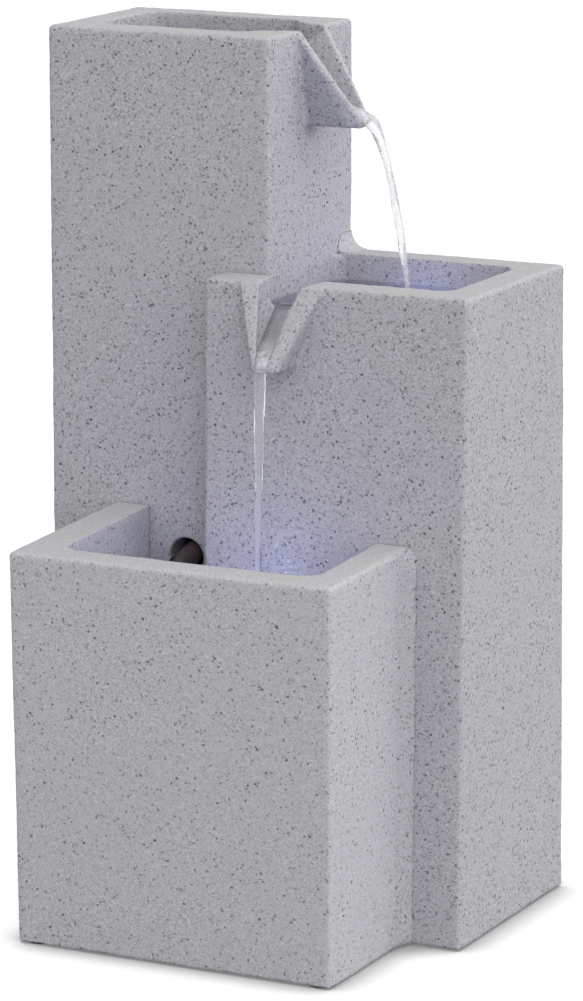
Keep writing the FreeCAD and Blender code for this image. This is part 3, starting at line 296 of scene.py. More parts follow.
class Nodes:
    """A node tree of a material or a world, and a short way to add and join its nodes."""

    def __init__(self, owner):
        owner.use_nodes = True
        self.owner = owner
        self.tree = owner.node_tree
        self.tree.nodes.clear()

    def add(self, kind, inputs=None, **settings):
        node = self.tree.nodes.new("ShaderNode" + kind)
        for key, setting in settings.items():
            setattr(node, key, setting)
        for key, content in (inputs or {}).items():
            self.put(content, node.inputs[key])
        return node

    def put(self, content, socket):
        if isinstance(content, bpy.types.NodeSocket):
            self.tree.links.new(content, socket)
        else:
            socket.default_value = content

    def math(self, operation, first, second):
        return self.add("Math", {0: first, 1: second}, operation=operation).outputs[0]

    def vector(self, operation, first, second):
        return self.add("VectorMath", {0: first, 1: second}, operation=operation).outputs["Vector"]

    def scaled(self, content, factor):
        return self.add("VectorMath", {0: content, "Scale": factor}, operation="SCALE").outputs["Vector"]

    def millimetres(self):
        """Place on the piece in millimetres."""
        return self.scaled(self.add("TexCoord").outputs["Object"], 1.0 / MM)

    def normal(self):
        return self.add("SeparateXYZ", {0: self.add("NewGeometry").outputs["Normal"]}).outputs

    def seen(self):
        """1 for what the camera sees, straight, mirrored or through glass, and 0 for light on the object."""
        path = self.add("LightPath").outputs
        mirrored = self.math("MAXIMUM", path["Is Glossy Ray"], path["Is Transmission Ray"])
        return self.math("MAXIMUM", path["Is Camera Ray"], mirrored)

    def noise(self, place, scale, detail=2.0, roughness=0.5, output="Fac"):
        inputs = {"Vector": place, "Scale": scale, "Detail": detail, "Roughness": roughness}
        return self.add("TexNoise", inputs).outputs[output]

    def span(self, content, low, high, to_low=0.0, to_high=1.0):
        """Smooth step from low to high, clamped."""
        inputs = {"Value": content, "From Min": low, "From Max": high, "To Min": to_low, "To Max": to_high}
        return self.add("MapRange", inputs, interpolation_type="SMOOTHSTEP").outputs["Result"]

    def mix(self, share, first, second, blend="MIX"):
        inputs = {"Factor": share, 6: first, 7: second}
        return self.add("Mix", inputs, data_type="RGBA", blend_type=blend).outputs[2]

    def bump(self, height, strength, distance):
        inputs = {"Height": height, "Strength": strength, "Distance": distance}
        return self.add("Bump", inputs).outputs["Normal"]

    def principled(self, **inputs):
        named = {key.replace("_", " "): content for key, content in inputs.items()}
        return self.add("BsdfPrincipled", named).outputs["BSDF"]

    def surface(self, shader, kind="OutputMaterial"):
        self.add(kind, {"Surface": shader})
        return self.owner


def new_material(name):
    return Nodes(bpy.data.materials.new(name))


def colour(tint, tone=1.0):
    red, green, blue = tint
    return (red * tone, green * tone, blue * tone, 1.0)


def painted_shade_sides(n, origin, spout):
    """Share of painted shade on a spout that points right: outer sides, below the sloping rim, clear of the
    wall.
    """
    place = n.add("SeparateXYZ", {0: n.millimetres()}).outputs
    aside = n.math("SUBTRACT", place["Y"], origin.y / MM)
    outer = n.span(n.math("MULTIPLY", aside, n.normal()["Y"]), *SPOUT_SHADE_ROUND_EDGE)
    out = n.math("SUBTRACT", place["X"], origin.x / MM)
    down = n.math("SUBTRACT", origin.z / MM, place["Z"])
    rim = n.math("MULTIPLY", out, (spout["drop"] - SPOUT_LIP) / spout["reach"])
    under = n.span(n.math("SUBTRACT", down, rim), *SPOUT_SHADE_BELOW_RIM)
    clear = n.span(out, *SPOUT_SHADE_OFF_WALL)
    above_next = n.math("LESS_THAN", down, (spout["drop"] + SPOUT_LIP) / MM)
    return n.math("MULTIPLY", n.math("MULTIPLY", under, clear), n.math("MULTIPLY", above_next, outer))


def granite(name, tone, fleck, shaded_spout=None):
    """Violet-grey cast stone: fine grain, small ragged flecks; faces that look up get lime and painted top
    light.

    The stone's brightness grows with tone, and the number of its dark flecks with fleck. Where a spout is
    given, with its origin and sizes, painted shade darkens its sides below the rim.
    """
    n = new_material(name)
    place = n.add("Mapping", {"Vector": n.millimetres(), "Rotation": STONE_TURN}).outputs["Vector"]
    wander = n.vector("SUBTRACT", n.noise(place, WANDER_SCALE, 3.0, 0.6, "Color"), (0.5, 0.5, 0.5))
    ragged = n.vector("ADD", place, n.scaled(wander, FLECK_WANDER))

    def flecks(layer, crowd):
        cells = n.add("TexVoronoi", {"Vector": ragged, "Scale": layer["cells"]}).outputs
        chance, size, depth = n.add("SeparateColor", {0: cells["Color"]}).outputs
        radius = n.span(size, 0.0, 1.0, *layer["radius"])
        inside = n.span(n.math("SUBTRACT", radius, cells["Distance"]), -0.05, 0.07)
        chosen = n.math("LESS_THAN", chance, layer["share"] * crowd)
        deep = n.span(depth, 0.0, 1.0, layer["faintest"], 1.0)
        return n.math("MULTIPLY", deep, n.math("MULTIPLY", inside, chosen))

    grain = n.noise(place, GRAIN_SCALE, 5.0, 0.7)
    cloud = n.noise(place, CLOUD_SCALE)
    body = n.mix(n.span(grain, 0.32, 0.68), colour(GRAIN_DARK, tone), colour(GRAIN_PALE, tone))
    body = n.mix(n.span(cloud, 0.35, 0.65, 0.0, 0.4), body, colour(CLOUD_TINT, tone))
    for layer in (PALE_FLECKS, FINE_FLECKS, GREY_FLECKS, DARK_FLECKS):
        crowd = 1.0 if layer is PALE_FLECKS else fleck
        strength = n.math("MULTIPLY", flecks(layer, crowd), layer["strength"])
        body = n.mix(strength, body, colour(layer["tint"]))
    # Faces that look up: a coat of lime, and painted top light that makes them paler than the lamps alone
    # would
    film_and_top_light = n.mix(n.span(grain, 0.3, 0.7), colour(FILM_AND_TOP_LIGHT_DARK, tone), colour(FILM_AND_TOP_LIGHT_PALE, tone))
    lime = n.noise(place, LIME_SCALE)
    film_and_top_light = n.mix(n.span(lime, 0.52, 0.68, 0.0, 0.6), film_and_top_light, colour(LIME_TINT, tone))
    patchy = n.noise(place, PATCH_SCALE, 4.0, 0.6)
    upward_lime_and_light = n.span(n.normal()["Z"], 0.38, 0.95)
    body = n.mix(n.math("MULTIPLY", upward_lime_and_light, n.span(patchy, 0.3, 0.7, 0.55, 0.9)), body, film_and_top_light)
    # Painted shade: the spout's sides are darkened and turned bluish where they face away from the light
    if shaded_spout:
        body = n.mix(painted_shade_sides(n, *shaded_spout), body, colour(SPOUT_SHADE_TINT), "MULTIPLY")
    pits = n.noise(place, PIT_SCALE, 4.0, 0.7)
    height = n.math("ADD", n.math("MULTIPLY", grain, 0.6), pits)
    normal = n.bump(height, STONE_BUMP, STONE_BUMP_DEPTH)
    rough = n.span(grain, 0.2, 0.8, *STONE_ROUGHNESS)
    return n.surface(n.principled(Base_Color=body, Roughness=rough, Normal=normal,
                                  Specular_IOR_Level=STONE_SPECULAR))


def moulded(name, low, high, roughness, grain_scale=2.5, strength=0.12):
    """Moulded plastic or rubber: two close tones, fine surface texture."""
    n = new_material(name)
    place = n.millimetres()
    fine = n.noise(place, grain_scale, 3.0)
    broad = n.noise(place, 0.12)
    body = n.mix(n.span(broad, 0.3, 0.7), colour(low), colour(high))
    rough = n.span(fine, 0.25, 0.75, roughness - 0.08, roughness + 0.08)
    normal = n.bump(fine, strength, 0.2 * MM)
    return n.surface(n.principled(Base_Color=body, Roughness=rough, Normal=normal))


def metal(name, low, high, roughness, stretch):
    """Turned or drawn metal: fine lines along one direction."""
    n = new_material(name)
    drawn = n.add("Mapping", {"Vector": n.millimetres(), "Scale": stretch}).outputs["Vector"]
    lines = n.noise(drawn, 1.0, 4.0)
    body = n.mix(n.span(lines, 0.3, 0.7), colour(low), colour(high))
    rough = n.span(lines, 0.25, 0.75, roughness - 0.09, roughness + 0.09)
    normal = n.bump(lines, 0.10, 0.1 * MM)
    return n.surface(n.principled(Base_Color=body, Metallic=1.0, Roughness=rough, Normal=normal))


def winding(name, low, high):
    """Enamelled wire: closely wound turns along the pump's axis."""
    n = new_material(name)
    inputs = {"Vector": n.millimetres(), "Scale": 0.9, "Distortion": 0.4, "Detail": 1.0}
    turns = n.add("TexWave", inputs, bands_direction="X").outputs["Fac"]
    body = n.mix(turns, colour(low), colour(high))
    normal = n.bump(turns, 0.5, 0.3 * MM)
    return n.surface(n.principled(Base_Color=body, Metallic=0.85, Roughness=0.32, Normal=normal))


def lit(name, low, high, glow, strength):
    """Lamp part: pale moulded surface that gives light."""
    n = new_material(name)
    fine = n.noise(n.millimetres(), 1.6)
    body = n.mix(fine, colour(low), colour(high))
    rough = n.span(fine, 0.3, 0.7, 0.10, 0.22)
    return n.surface(n.principled(Base_Color=body, Roughness=rough, Emission_Color=colour(glow),
                                  Emission_Strength=strength))


def water(name, tint, ripple_scale, ripple_height, foam, foam_top=None):
    """Clear water that lets lamps through, with a fine ripple and a share of white air bubbles.

    Where foam_top is given, the bubbles fade out at that share of the piece's height.
    """
    n = new_material(name)
    place = n.millimetres()
    normal = n.bump(n.noise(place, ripple_scale, 3.0), 0.35, ripple_height)
    streaks = n.noise(place, 0.3)
    rough = n.span(streaks, 0.2, 0.8, 0.015, 0.05)
    bubbles = n.span(streaks, 0.3, 0.7, foam, 0.4 * foam)
    if foam_top:
        height = n.add("SeparateXYZ", {0: n.add("TexCoord").outputs["Generated"]}).outputs["Z"]
        bubbles = n.math("MULTIPLY", bubbles, n.span(height, 0.2 * foam_top, foam_top, 1.0, 0.06))
    clear = n.math("SUBTRACT", 1.0, bubbles)
    body = n.principled(Base_Color=colour(tint), Roughness=rough, Transmission_Weight=clear, IOR=WATER_IOR,
                        Normal=normal)
    through = n.add("BsdfTransparent", {"Color": colour(tint)}).outputs["BSDF"]
    lamp_ray = n.add("LightPath").outputs["Is Shadow Ray"]
    return n.surface(n.add("MixShader", {0: lamp_ray, 1: body, 2: through}).outputs[0])


def floor_finish():
    """White floor that greys only close to the object, with a painted contact shadow leaned to one side."""
    n = new_material("floor_finish")
    low, high = FLOOR_BOUNCE
    seen = n.seen()
    bounce = n.mix(n.noise(n.millimetres(), 0.01), colour(low), colour(high))
    body = n.mix(seen, bounce, colour(FLOOR_SEEN))
    # Painted contact shadow: the floor's glow dims close to the object, more on its right-hand side
    inputs = {"Distance": CONTACT_SHADE, "Normal": SHADE_LEAN}
    nearness = n.add("AmbientOcclusion", inputs, samples=SHADE_SAMPLES).outputs["AO"]
    lift = n.math("MULTIPLY", seen, n.span(nearness, *CONTACT_RANGE, *FLOOR_GLOW))
    glow = n.add("Emission", {"Color": colour(WHITE), "Strength": lift}).outputs[0]
    matt = n.add("BsdfDiffuse", {"Color": body}).outputs[0]
    return n.surface(n.add("AddShader", {0: matt, 1: glow}).outputs[0])


def make_camera():
    data = bpy.data.cameras.new("camera")
    data.sensor_width = SENSOR
    data.lens = FOCAL_PIXELS / LONG_SIDE_PIXELS * SENSOR
    data.clip_end = CAMERA_SIGHT
    camera = bpy.data.objects.new("camera", data)
    camera.location = CAMERA_PLACE
    camera.rotation_euler = (math.radians(90.0 - CAMERA_PITCH), 0.0, math.radians(CAMERA_YAW))
    scene.collection.objects.link(camera)
    scene.camera = camera


def make_floor():
    corners = [(-FLOOR_HALF, -FLOOR_HALF, 0), (FLOOR_HALF, -FLOOR_HALF, 0),
               (FLOOR_HALF, FLOOR_HALF, 0), (-FLOOR_HALF, FLOOR_HALF, 0)]
    mesh = bpy.data.meshes.new("floor")
    mesh.from_pydata(corners, [], [(0, 1, 2, 3)])
    mesh.materials.append(floor_finish())
    floor = bpy.data.objects.new("floor", mesh)
    scene.collection.objects.link(floor)


def make_tent():
    """Soft light from all round, brightest from the right; where it is seen, it is plain white."""
    scene.world = bpy.data.worlds.new("studio")
    n = Nodes(scene.world)
    way = n.add("TexCoord").outputs["Generated"]
    slope = n.add("VectorMath", {0: way, 1: TENT_SLOPE}, operation="DOT_PRODUCT").outputs["Value"]
    light = n.math("ADD", slope, TENT_LEVEL)
    strength = n.add("Mix", {0: n.seen(), 2: light, 3: 1.0}).outputs[0]
    sky = n.add("Background", {"Color": colour(WHITE), "Strength": strength}).outputs[0]
    n.surface(sky, "OutputWorld")


def add_piece(name, mesh, finish):
    piece = bpy.data.objects.new(name, mesh)
    scene.collection.objects.link(piece)
    mesh.materials.clear()
    mesh.materials.append(finish)
    mesh.shade_smooth()
    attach(piece, "fountain")
    return piece


def rough_cast(name, node, finish, fill=None):
    """The casting with softened, slightly uneven edges and faces, drawn in from the solid's surface.

    A fill is a closed mesh that becomes one with the casting.
    """
    shape = nodes[node].data.copy()
    if fill:
        work = bmesh.new()
        work.from_mesh(shape)
        work.from_mesh(fill)
        work.to_mesh(shape)
        work.free()
    source = bpy.data.objects.new(name + "_work", shape)
    scene.collection.objects.link(source)
    remesh = source.modifiers.new("even", "REMESH")
    remesh.mode = "VOXEL"
    remesh.voxel_size = CAST_VOXEL
    soften = source.modifiers.new("soften", "SMOOTH")
    soften.factor = CAST_SOFTEN
    soften.iterations = CAST_SOFTEN_ROUNDS
    for label, size, height in CAST_RELIEF:
        pattern = bpy.data.textures.new(name + "_" + label, "CLOUDS")
        pattern.noise_scale = size
        pattern.noise_depth = 2
        lift = source.modifiers.new(label, "DISPLACE")
        lift.texture = pattern
        lift.texture_coords = "LOCAL"
        lift.strength = height
        lift.mid_level = RELIEF_MIDDLE
    graph = bpy.context.evaluated_depsgraph_get()
    dense = source.evaluated_get(graph).data
    dense.calc_loop_triangles()
    share = MOST_FACES / max(len(dense.loop_triangles), 1)
    if share < 1.0:
        thin = source.modifiers.new("thin", "DECIMATE")
        thin.ratio = share
        graph = bpy.context.evaluated_depsgraph_get()
    mesh = bpy.data.meshes.new_from_object(source.evaluated_get(graph))
    mesh.name = name
    bpy.data.objects.remove(source)
    piece = add_piece(name, mesh, finish)
    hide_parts(node)


def loft(name, rings):
    """Closed mesh skin over rings of equal point counts."""
    mesh = bpy.data.meshes.new(name)
    count = len(rings[0])
    points = [point for ring in rings for point in ring]
    faces = []
    for row in range(len(rings) - 1):
        for column in range(count):
            following = (column + 1) % count
            faces.append((row * count + column, row * count + following,
                          (row + 1) * count + following, (row + 1) * count + column))
    faces.append(tuple(reversed(range(count))))
    faces.append(tuple(range((len(rings) - 1) * count, len(rings) * count)))
    mesh.from_pydata(points, [], faces)
    mesh.update()
    return mesh


def tip_depth(spout):
    """How far the channel's floor at the lip lies below the rim."""
    return spout["drop"] - SPOUT_LIP + CHANNEL_LIP


def channel_at(spout, out):
    """The channel at a distance from the wall: share of its run, floor below the rim, half its width."""
    inside, lip = -spout["wall"] - CUT_PAST, spout["reach"]
    share = (out - inside) / (lip + CUT_PAST - inside)
    floor = CHANNEL_ENTRY + (tip_depth(spout) - CHANNEL_ENTRY) * share
    if out < 0:
        half = spout["mouth"] / 2 + (CHANNEL_WIDTH - spout["mouth"]) / 2 * (1 - out / inside)
    else:
        half = CHANNEL_WIDTH / 2 + (CHANNEL_TIP - CHANNEL_WIDTH) / 2 * out / (lip + CUT_PAST)
    return share, floor, half


def spout_shoulder(name, origin, outward, spout):
    """Solid along a spout's right-hand rim: it narrows the channel, and its top turns over a tight round."""
    side = UP.cross(outward)
    start, end = -spout["wall"], spout["reach"] - CUT_PAST
    rings = []
    for step in range(SHOULDER_STEPS + 1):
        out = start + (end - start) * step / SHOULDER_STEPS
        _, floor, half = channel_at(spout, out)
        rim = max(0.0, out) / spout["reach"] * (spout["drop"] - SPOUT_LIP)
        inner = half - SHOULDER_FILL * min(1.0, (spout["reach"] - out) / SHOULDER_FADE)
        outer = half + SHOULDER_ROLL
        if out > 0:
            width = spout["width"] + (SPOUT_TIP - spout["width"]) * out / spout["reach"]
            outer = width / 2 - CUT_PAST
        turn_over = min(SHOULDER_ROUND, (floor - rim) / 2, (outer - inner) / 2)
        section = [(inner, floor + CUT_PAST)]
        for arc_step in range(SHOULDER_ARC_STEPS + 1):
            turn = math.pi / 2 * arc_step / SHOULDER_ARC_STEPS
            section.append((inner + turn_over * (1 - math.cos(turn)), rim + turn_over * (1 - math.sin(turn))))
        section.append((outer, rim))
        rings.append([origin + outward * out + side * across - UP * down for across, down in section])
    return loft(name, rings)


def middle_lean(up):
    """How far the middle column's front stands out at a height."""
    return (middle_high.z - up) / (middle_high.z - middle_low.z) * MIDDLE_LEAN


def cove_rings(stations, radius, sweep):
    """Rings of a coved bead; a station gives the corner between two faces, their normals and a scale.

    The arc leaves the first face along it, and after a full quarter turn meets the other face along it too.
    """
    rings = []
    for corner, one, other, scale in stations:
        base = corner - (one + other) * COVE_SUNK * scale
        ring = []
        for step in range(COVE_ARC_STEPS + 1):
            turn = sweep * step / COVE_ARC_STEPS
            across = one * (1 - math.cos(turn)) + other * (math.sin(sweep) - math.sin(turn))
            ring.append(base + across * radius * scale)
        ring.append(base)
        rings.append(ring)
    return rings


def joint_beads(name, finish, seed):
    """Hand-smoothed coved beads: right of the lower basin, and where the middle column meets the tower."""
    drift = random.Random(seed)
    side_stations = []
    for step in range(SIDE_STEPS + 1):
        share = step / SIDE_STEPS
        up = lower_low.z + (SIDE_TOP - lower_low.z) * share
        corner = Vector((lower_high.x, MIDDLE_FRONT - middle_lean(up), up))
        uneven = 1.0 + SIDE_WAVE * math.sin(SIDE_WAVES * share) + drift.uniform(-SIDE_JITTER, SIDE_JITTER)
        fade = math.sin(min(1.0, (1.0 - share) / BEAD_FADE) * math.pi / 2)
        side_stations.append((corner, TO_RIGHT, TO_FRONT, uneven * (SIDE_LEAST + (1.0 - SIDE_LEAST) * fade)))
    rim_stations = []
    for step in range(RIM_STEPS + 1):
        share = step / RIM_STEPS
        corner = Vector((TOWER_RIGHT, RIM_START + (RIM_END - RIM_START) * share, middle_high.z))
        scale = min(RIM_MOST, RIM_LEAST + RIM_GROWTH * share) + drift.uniform(-COVE_JITTER, COVE_JITTER)
        rim_stations.append((corner, TO_RIGHT, UP, scale))
    inner_stations = []
    for step in range(INNER_STEPS + 1):
        up = middle_high.z - INNER_BELOW_RIM - BASIN_DEPTH * (1 - step / INNER_STEPS)
        corner = Vector((TOWER_RIGHT, tower_high.y - MIDDLE_WALL, up))
        scale = INNER_SCALE + drift.uniform(-COVE_JITTER, COVE_JITTER)
        inner_stations.append((corner, TO_RIGHT, TO_FRONT, scale))
    beads = {"side": cove_rings(side_stations, SIDE_RADIUS, SIDE_SWEEP),
             "rim": cove_rings(rim_stations, COVE_RADIUS, COVE_SWEEP),
             "inner": cove_rings(inner_stations, COVE_RADIUS, COVE_SWEEP)}
    work = bmesh.new()
    for label, rings in beads.items():
        work.from_mesh(loft(name + "_" + label, rings))
    bmesh.ops.recalc_face_normals(work, faces=work.faces)
    mesh = bpy.data.meshes.new(name)
    work.to_mesh(mesh)
    work.free()
    piece = add_piece(name, mesh, finish)
    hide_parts("joint_beads")


def channel_water(name, origin, outward, spout, finish):
    """Water that runs down the spout's channel, from the pool to the lip."""
    side = outward.cross(UP)
    inside, lip = -spout["wall"] - CUT_PAST, spout["reach"]
    keel_slope = (spout["width"] - SPOUT_KEEL) / 2 / spout["drop"]
    rings = []
    for step in range(CHANNEL_STEPS + 1):
        out = inside + (lip - inside) * step / CHANNEL_STEPS
        share, floor, plan = channel_at(spout, out)
        deep = WATER_OVER_ENTRY + (LIP_WATER - WATER_OVER_ENTRY) * share
        keel = spout["width"] / 2 - SPOUT_RIM - keel_slope * (floor - deep)
        half = min(plan, keel) + CHANNEL_SINK
        top = []
        under = []
        for column in range(CHANNEL_COLUMNS + 1):
            place = -1.0 + 2.0 * column / CHANNEL_COLUMNS
            base = origin + outward * out + side * (half * place)
            crest = CHANNEL_CREST * math.sin(CREST_ALONG * share + CREST_ACROSS * place) * (1 - place ** 2)
            dish = CHANNEL_DISH * deep * (1 - place ** 2) * (1 - share)
            top.append(base + UP * (deep - floor - dish + crest))
            under.append(base - UP * (floor + CHANNEL_SINK))
        rings.append(top + under[::-1])
    add_piece(name, loft(name, rings), finish)


def lip_of(origin, outward, spout, stream):
    """Middle of the stream where it leaves the spout."""
    return origin + outward * spout["reach"] + UP * (stream["over_floor"] - tip_depth(spout))


def landing(lip, outward, stream, level):
    """Where a stream meets the water below it."""
    return (lip + outward * stream["speed"] * math.sqrt(2 * (lip.z - level) / GRAVITY)).xy


def falling_stream(name, lip, outward, stream, level, finish, seed):
    """Free fall from the lip to a pool: it thins as it speeds up, and its skin waves along the way."""
    drift = random.Random(seed)
    phases = [drift.uniform(0, math.tau) for _ in range(4)]
    speed = stream["speed"]
    height = lip.z - (level - STREAM_DIP)
    start_speed = math.sqrt(2 * GRAVITY * stream["lead"] + speed ** 2)
    rings = []
    for step in range(-BACK_STEPS, STREAM_STEPS + 1):
        if step < 0:
            behind = -step / BACK_STEPS * BACK_LENGTH
            centre = lip - outward * behind + UP * (behind * BACK_RISE)
            along = (outward - UP * BACK_RISE).normalized()
            fallen = 0.0
        else:
            fallen = height * (step / STREAM_STEPS) ** STREAM_CROWDING
            time = math.sqrt(2 * fallen / GRAVITY)
            centre = lip + outward * (speed * time) - UP * fallen
            down_speed = GRAVITY * time + STREAM_LEAST_SPEED
            along = (outward * (speed + STREAM_LEAST_SPEED) - UP * down_speed).normalized()
        across = along.cross(RING_START).normalized()
        other = along.cross(across)
        thinned = start_speed / math.sqrt(start_speed ** 2 + 2 * GRAVITY * fallen)
        width = stream["radius"] * math.sqrt(thinned)
        wave = fallen / height
        ring = []
        for side in range(STREAM_SIDES):
            turn = math.tau * side / STREAM_SIDES
            twist = TWIST_SWELL * math.sin(2 * turn + TWIST_WAVES * wave + phases[0])
            fold = FOLD_SWELL * math.sin(3 * turn - FOLD_WAVES * wave + phases[1])
            uneven = math.sin(turn + phases[3])
            bead = BEAD_SWELL * wave * math.sin(BEAD_WAVES * wave + phases[2] + uneven)
            swell = 1.0 + twist + fold + bead
            ring.append(centre + (across * math.cos(turn) + other * math.sin(turn)) * width * swell)
        rings.append(ring)
    add_piece(name, loft(name, rings), finish)


def corner_list(*pairs):
    return [Vector((x, y)) for x, y in pairs]


def rectangle(low, high):
    return corner_list((low.x, low.y), (high.x, low.y), (high.x, high.y), (low.x, high.y))


def rounded(corners, radius):
    """Outline with its convex corners rounded."""
    outline = []
    count = len(corners)
    for index, corner in enumerate(corners):
        before = (corners[index - 1] - corner).normalized()
        after = (corners[(index + 1) % count] - corner).normalized()
        convex = before.x * after.y - before.y * after.x < 0
        if not convex:
            outline.append(corner)
            continue
        for step in range(POOL_CORNER_STEPS + 1):
            turn = math.pi / 2 * step / POOL_CORNER_STEPS
            outline.append(corner + (before * (1 - math.sin(turn)) + after * (1 - math.cos(turn))) * radius)
    return outline


def along_outline(outline, gap):
    """Points spaced evenly along each side of an outline."""
    points = []
    for first, second in zip(outline, outline[1:] + outline[:1]):
        pieces = max(1, round((second - first).length / gap))
        points += [first.lerp(second, piece / pieces) for piece in range(pieces)]
    return points


def pool(name, corners, hub, level, stirred, finish):
    """Water surface that fills an outline from its hub, with rings of ripples round the stirred point."""
    rim = along_outline(rounded(corners, BASIN_CORNER), POOL_GAP)
    work = bmesh.new()

    def lifted(point):
        away = (point - stirred).length
        swell = RIPPLE_HEIGHT * math.cos(math.tau * away / RIPPLE_LENGTH) * math.exp(-away / RIPPLE_FADE)
        calm = CALM_HEIGHT * math.sin(point.x * CALM_ALONG_X) * math.sin(point.y * CALM_ALONG_Y)
        return Vector((point.x, point.y, level + swell + calm))

    centre = work.verts.new(lifted(hub))
    previous = None
    for ring in range(1, POOL_RINGS + 1):
        row = [work.verts.new(lifted(hub.lerp(point, ring / POOL_RINGS))) for point in rim]
        for index in range(len(row)):
            following = (index + 1) % len(row)
            if previous is None:
                work.faces.new((centre, row[index], row[following]))
            else:
                work.faces.new((previous[index], row[index], row[following], previous[following]))
        previous = row
    bmesh.ops.recalc_face_normals(work, faces=work.faces)
    mesh = bpy.data.meshes.new(name)
    work.to_mesh(mesh)
    work.free()
    add_piece(name, mesh, finish)


def splash_drops(name, finish, seed):
    """Flattened drops that cling to the middle column above the lower pool."""
    drift = random.Random(seed)
    work = bmesh.new()
    for _ in range(DROP_COUNT):
        across = drift.gauss(DROP_MIDDLE, DROP_SPREAD)
        up = drift.uniform(DROP_LOWEST, DROP_HIGHEST)
        size = drift.uniform(DROP_LEAST, DROP_MOST)
        place = Vector((across, MIDDLE_FRONT - middle_lean(up), up))
        for vert in bmesh.ops.create_icosphere(work, subdivisions=2, radius=size)["verts"]:
            sag = DROP_SAG * size if vert.co.z < 0 else 0.0
            flat = vert.co.dot(TO_FRONT) * DROP_FLATTEN
            vert.co += place - TO_FRONT * flat - UP * sag
    mesh = bpy.data.meshes.new(name)
    work.to_mesh(mesh)
    work.free()
    add_piece(name, mesh, finish)


def glow_lamp(name, place, power):
    lamp = bpy.data.lights.new(name, "POINT")
    lamp.color = GLOW
    lamp.energy = power
    lamp.shadow_soft_size = GLOW_SIZE
    made = bpy.data.objects.new(name, lamp)
    made.location = place
    scene.collection.objects.link(made)
    made.parent = frame["bodies"]["fountain"]


make_camera()
make_floor()
make_tent()

# Materials
STONE = granite("granite_resin", tone=1.015, fleck=1.7)
TOWER_STONE = granite("granite_resin_tower", tone=1.02, fleck=1.5, shaded_spout=(tower_spout, TOWER_SPOUT))
# The lower basin's stone is a paler copy: painted light, for the stronger light that falls on it
LOWER_STONE = granite("granite_resin_lower", tone=1.11, fleck=0.85)
SEALANT = granite("jointing_compound", tone=1.04, fleck=1.4)
CHANNEL = water("channel_water", WATER_TINT, ripple_scale=0.5, ripple_height=0.4 * MM, foam=0.6,
                foam_top=0.55)
RUNNING = water("running_water", WATER_TINT, ripple_scale=0.5, ripple_height=0.6 * MM, foam=0.4)
STREAM = water("stream_water", WATER_TINT, ripple_scale=0.5, ripple_height=0.6 * MM, foam=0.07)
POOL = water("pool_water", POOL_TINT, ripple_scale=0.14, ripple_height=1.0 * MM, foam=0.0)
FINISHES = {
    "black_rubber": moulded("black_rubber", (0.018, 0.018, 0.019), (0.034, 0.034, 0.035), 0.72),
    "pump_plastic": moulded("pump_plastic", (0.018, 0.018, 0.020), (0.040, 0.040, 0.043), 0.42),
    "dial_plastic": moulded("dial_plastic", (0.045, 0.13, 0.32), (0.06, 0.17, 0.40), 0.32),
    "impeller_plastic": moulded("impeller_plastic", (0.62, 0.62, 0.58), (0.72, 0.72, 0.69), 0.34),
    "hose_vinyl": moulded("hose_vinyl", (0.042, 0.028, 0.029), (0.062, 0.043, 0.044), 0.38, 0.8),
    "cable_jacket": moulded("cable_jacket", (0.014, 0.014, 0.015), (0.026, 0.026, 0.027), 0.45),
    "ferrite": moulded("ferrite", (0.035, 0.035, 0.038), (0.060, 0.060, 0.064), 0.55, 1.2, 0.3),
    "white_ceramic": moulded("white_ceramic", (0.74, 0.74, 0.71), (0.82, 0.82, 0.80), 0.22),
    "steel": metal("steel", (0.46, 0.46, 0.47), (0.66, 0.66, 0.67), 0.34, (0.15, 4.0, 4.0)),
    "lamp_shell": metal("lamp_shell", (0.50, 0.50, 0.51), (0.70, 0.70, 0.71), 0.30, (4.0, 4.0, 0.2)),
    "copper_wire": winding("copper_wire", (0.30, 0.11, 0.05), (0.74, 0.36, 0.17)),
    "lamp_board": lit("lamp_board", (0.72, 0.73, 0.76), (0.80, 0.81, 0.84), (0.55, 0.58, 1.0), 1.0),
    "lamp_lens": lit("lamp_lens", (0.62, 0.66, 0.90), (0.72, 0.76, 0.98), (0.42, 0.46, 1.0), 0.7),
}
for part in frame["record"]["subparts"]:
    finish = FINISHES.get(part["material_slot"])
    if finish:
        nodes[part["node"]].data.materials.clear()
        nodes[part["node"]].data.materials.append(finish)

# Castings and their joints
shoulder = spout_shoulder("middle_shoulder", middle_spout, TO_FRONT, MIDDLE_SPOUT)
rough_cast("tower_stone", "tower_casting", TOWER_STONE)
rough_cast("middle_stone", "middle_casting", STONE, shoulder)
rough_cast("lower_basin_stone", "lower_basin_casting", LOWER_STONE)
joint_beads("joint_bead_stone", SEALANT, 13)

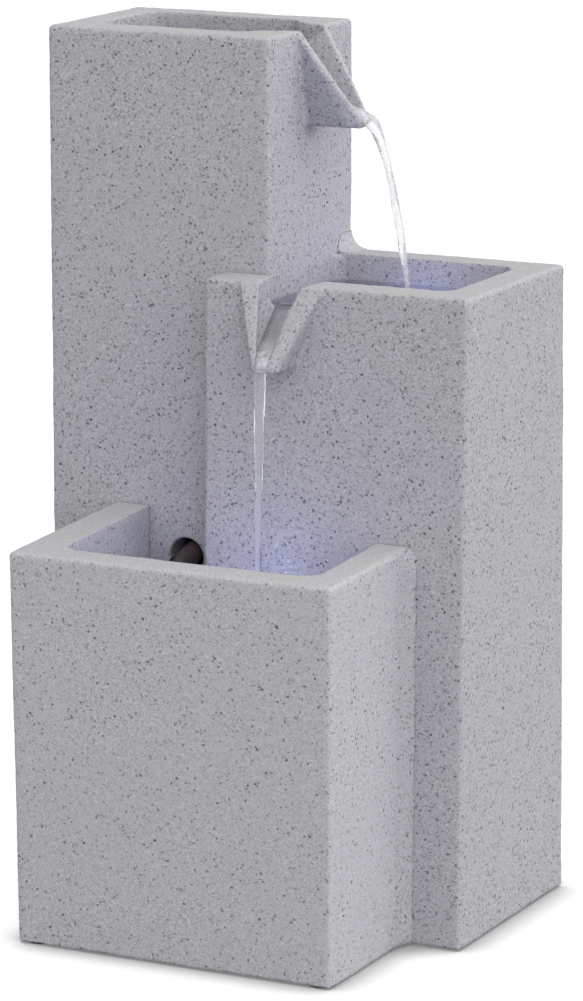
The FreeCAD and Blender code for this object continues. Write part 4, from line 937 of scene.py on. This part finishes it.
# Running and falling water
channel_water("tower_channel_water", tower_spout, TO_RIGHT, TOWER_SPOUT, CHANNEL)
channel_water("middle_channel_water", middle_spout, TO_FRONT, MIDDLE_SPOUT, CHANNEL)
upper_lip = lip_of(tower_spout, TO_RIGHT, TOWER_SPOUT, UPPER_STREAM)
lower_lip = lip_of(middle_spout, TO_FRONT, MIDDLE_SPOUT, LOWER_STREAM)
falling_stream("upper_stream", upper_lip, TO_RIGHT, UPPER_STREAM, MIDDLE_LEVEL, RUNNING, 5)
falling_stream("lower_stream", lower_lip, TO_FRONT, LOWER_STREAM, LOWER_LEVEL, STREAM, 8)

# Pools, which reach a little into the walls
tower_in_low = Vector((tower_low.x + TOWER_WALL - INTO_WALL, tower_low.y + TOWER_WALL - INTO_WALL))
tower_in_high = Vector((TOWER_RIGHT - TOWER_WALL + INTO_WALL, tower_high.y - TOWER_WALL + INTO_WALL))
pool("tower_pool", rectangle(tower_in_low, tower_in_high), (tower_in_low + tower_in_high) / 2,
     TOWER_LEVEL, Vector((NIPPLE_X, TOWER_SPOUT_Y)), POOL)
middle_in_low = Vector((TOWER_RIGHT, MIDDLE_FRONT + MIDDLE_WALL - INTO_WALL))
middle_in_high = Vector((middle_high.x - MIDDLE_WALL + INTO_WALL, tower_high.y - MIDDLE_WALL + INTO_WALL))
pool("middle_pool", rectangle(middle_in_low, middle_in_high), (middle_in_low + middle_in_high) / 2,
     MIDDLE_LEVEL, landing(upper_lip, TO_RIGHT, UPPER_STREAM, MIDDLE_LEVEL), POOL)
lower_in_low = Vector((LOWER_LEFT + LOWER_WALL - INTO_WALL, lower_low.y + LOWER_WALL - INTO_WALL))
lower_in_right = lower_high.x - LOWER_WALL + INTO_WALL
lower_in_back = tower_low.y + INTO_WALL
lower_corners = corner_list((lower_in_low.x, lower_in_low.y), (lower_in_right, lower_in_low.y),
                            (lower_in_right, MIDDLE_FACE), (middle_low.x, MIDDLE_FACE),
                            (middle_low.x, lower_in_back), (lower_in_low.x, lower_in_back))
pool("lower_pool", lower_corners, LOWER_HUB,
     LOWER_LEVEL, landing(lower_lip, TO_FRONT, LOWER_STREAM, LOWER_LEVEL), POOL)
splash_drops("splash_drops", STREAM, 21)

glow_lamp("lower_glow", LOWER_GLOW_PLACE, LOWER_GLOW_POWER)
glow_lamp("middle_glow", MIDDLE_GLOW_PLACE, MIDDLE_GLOW_POWER)

scene.view_settings.view_transform = "Standard"
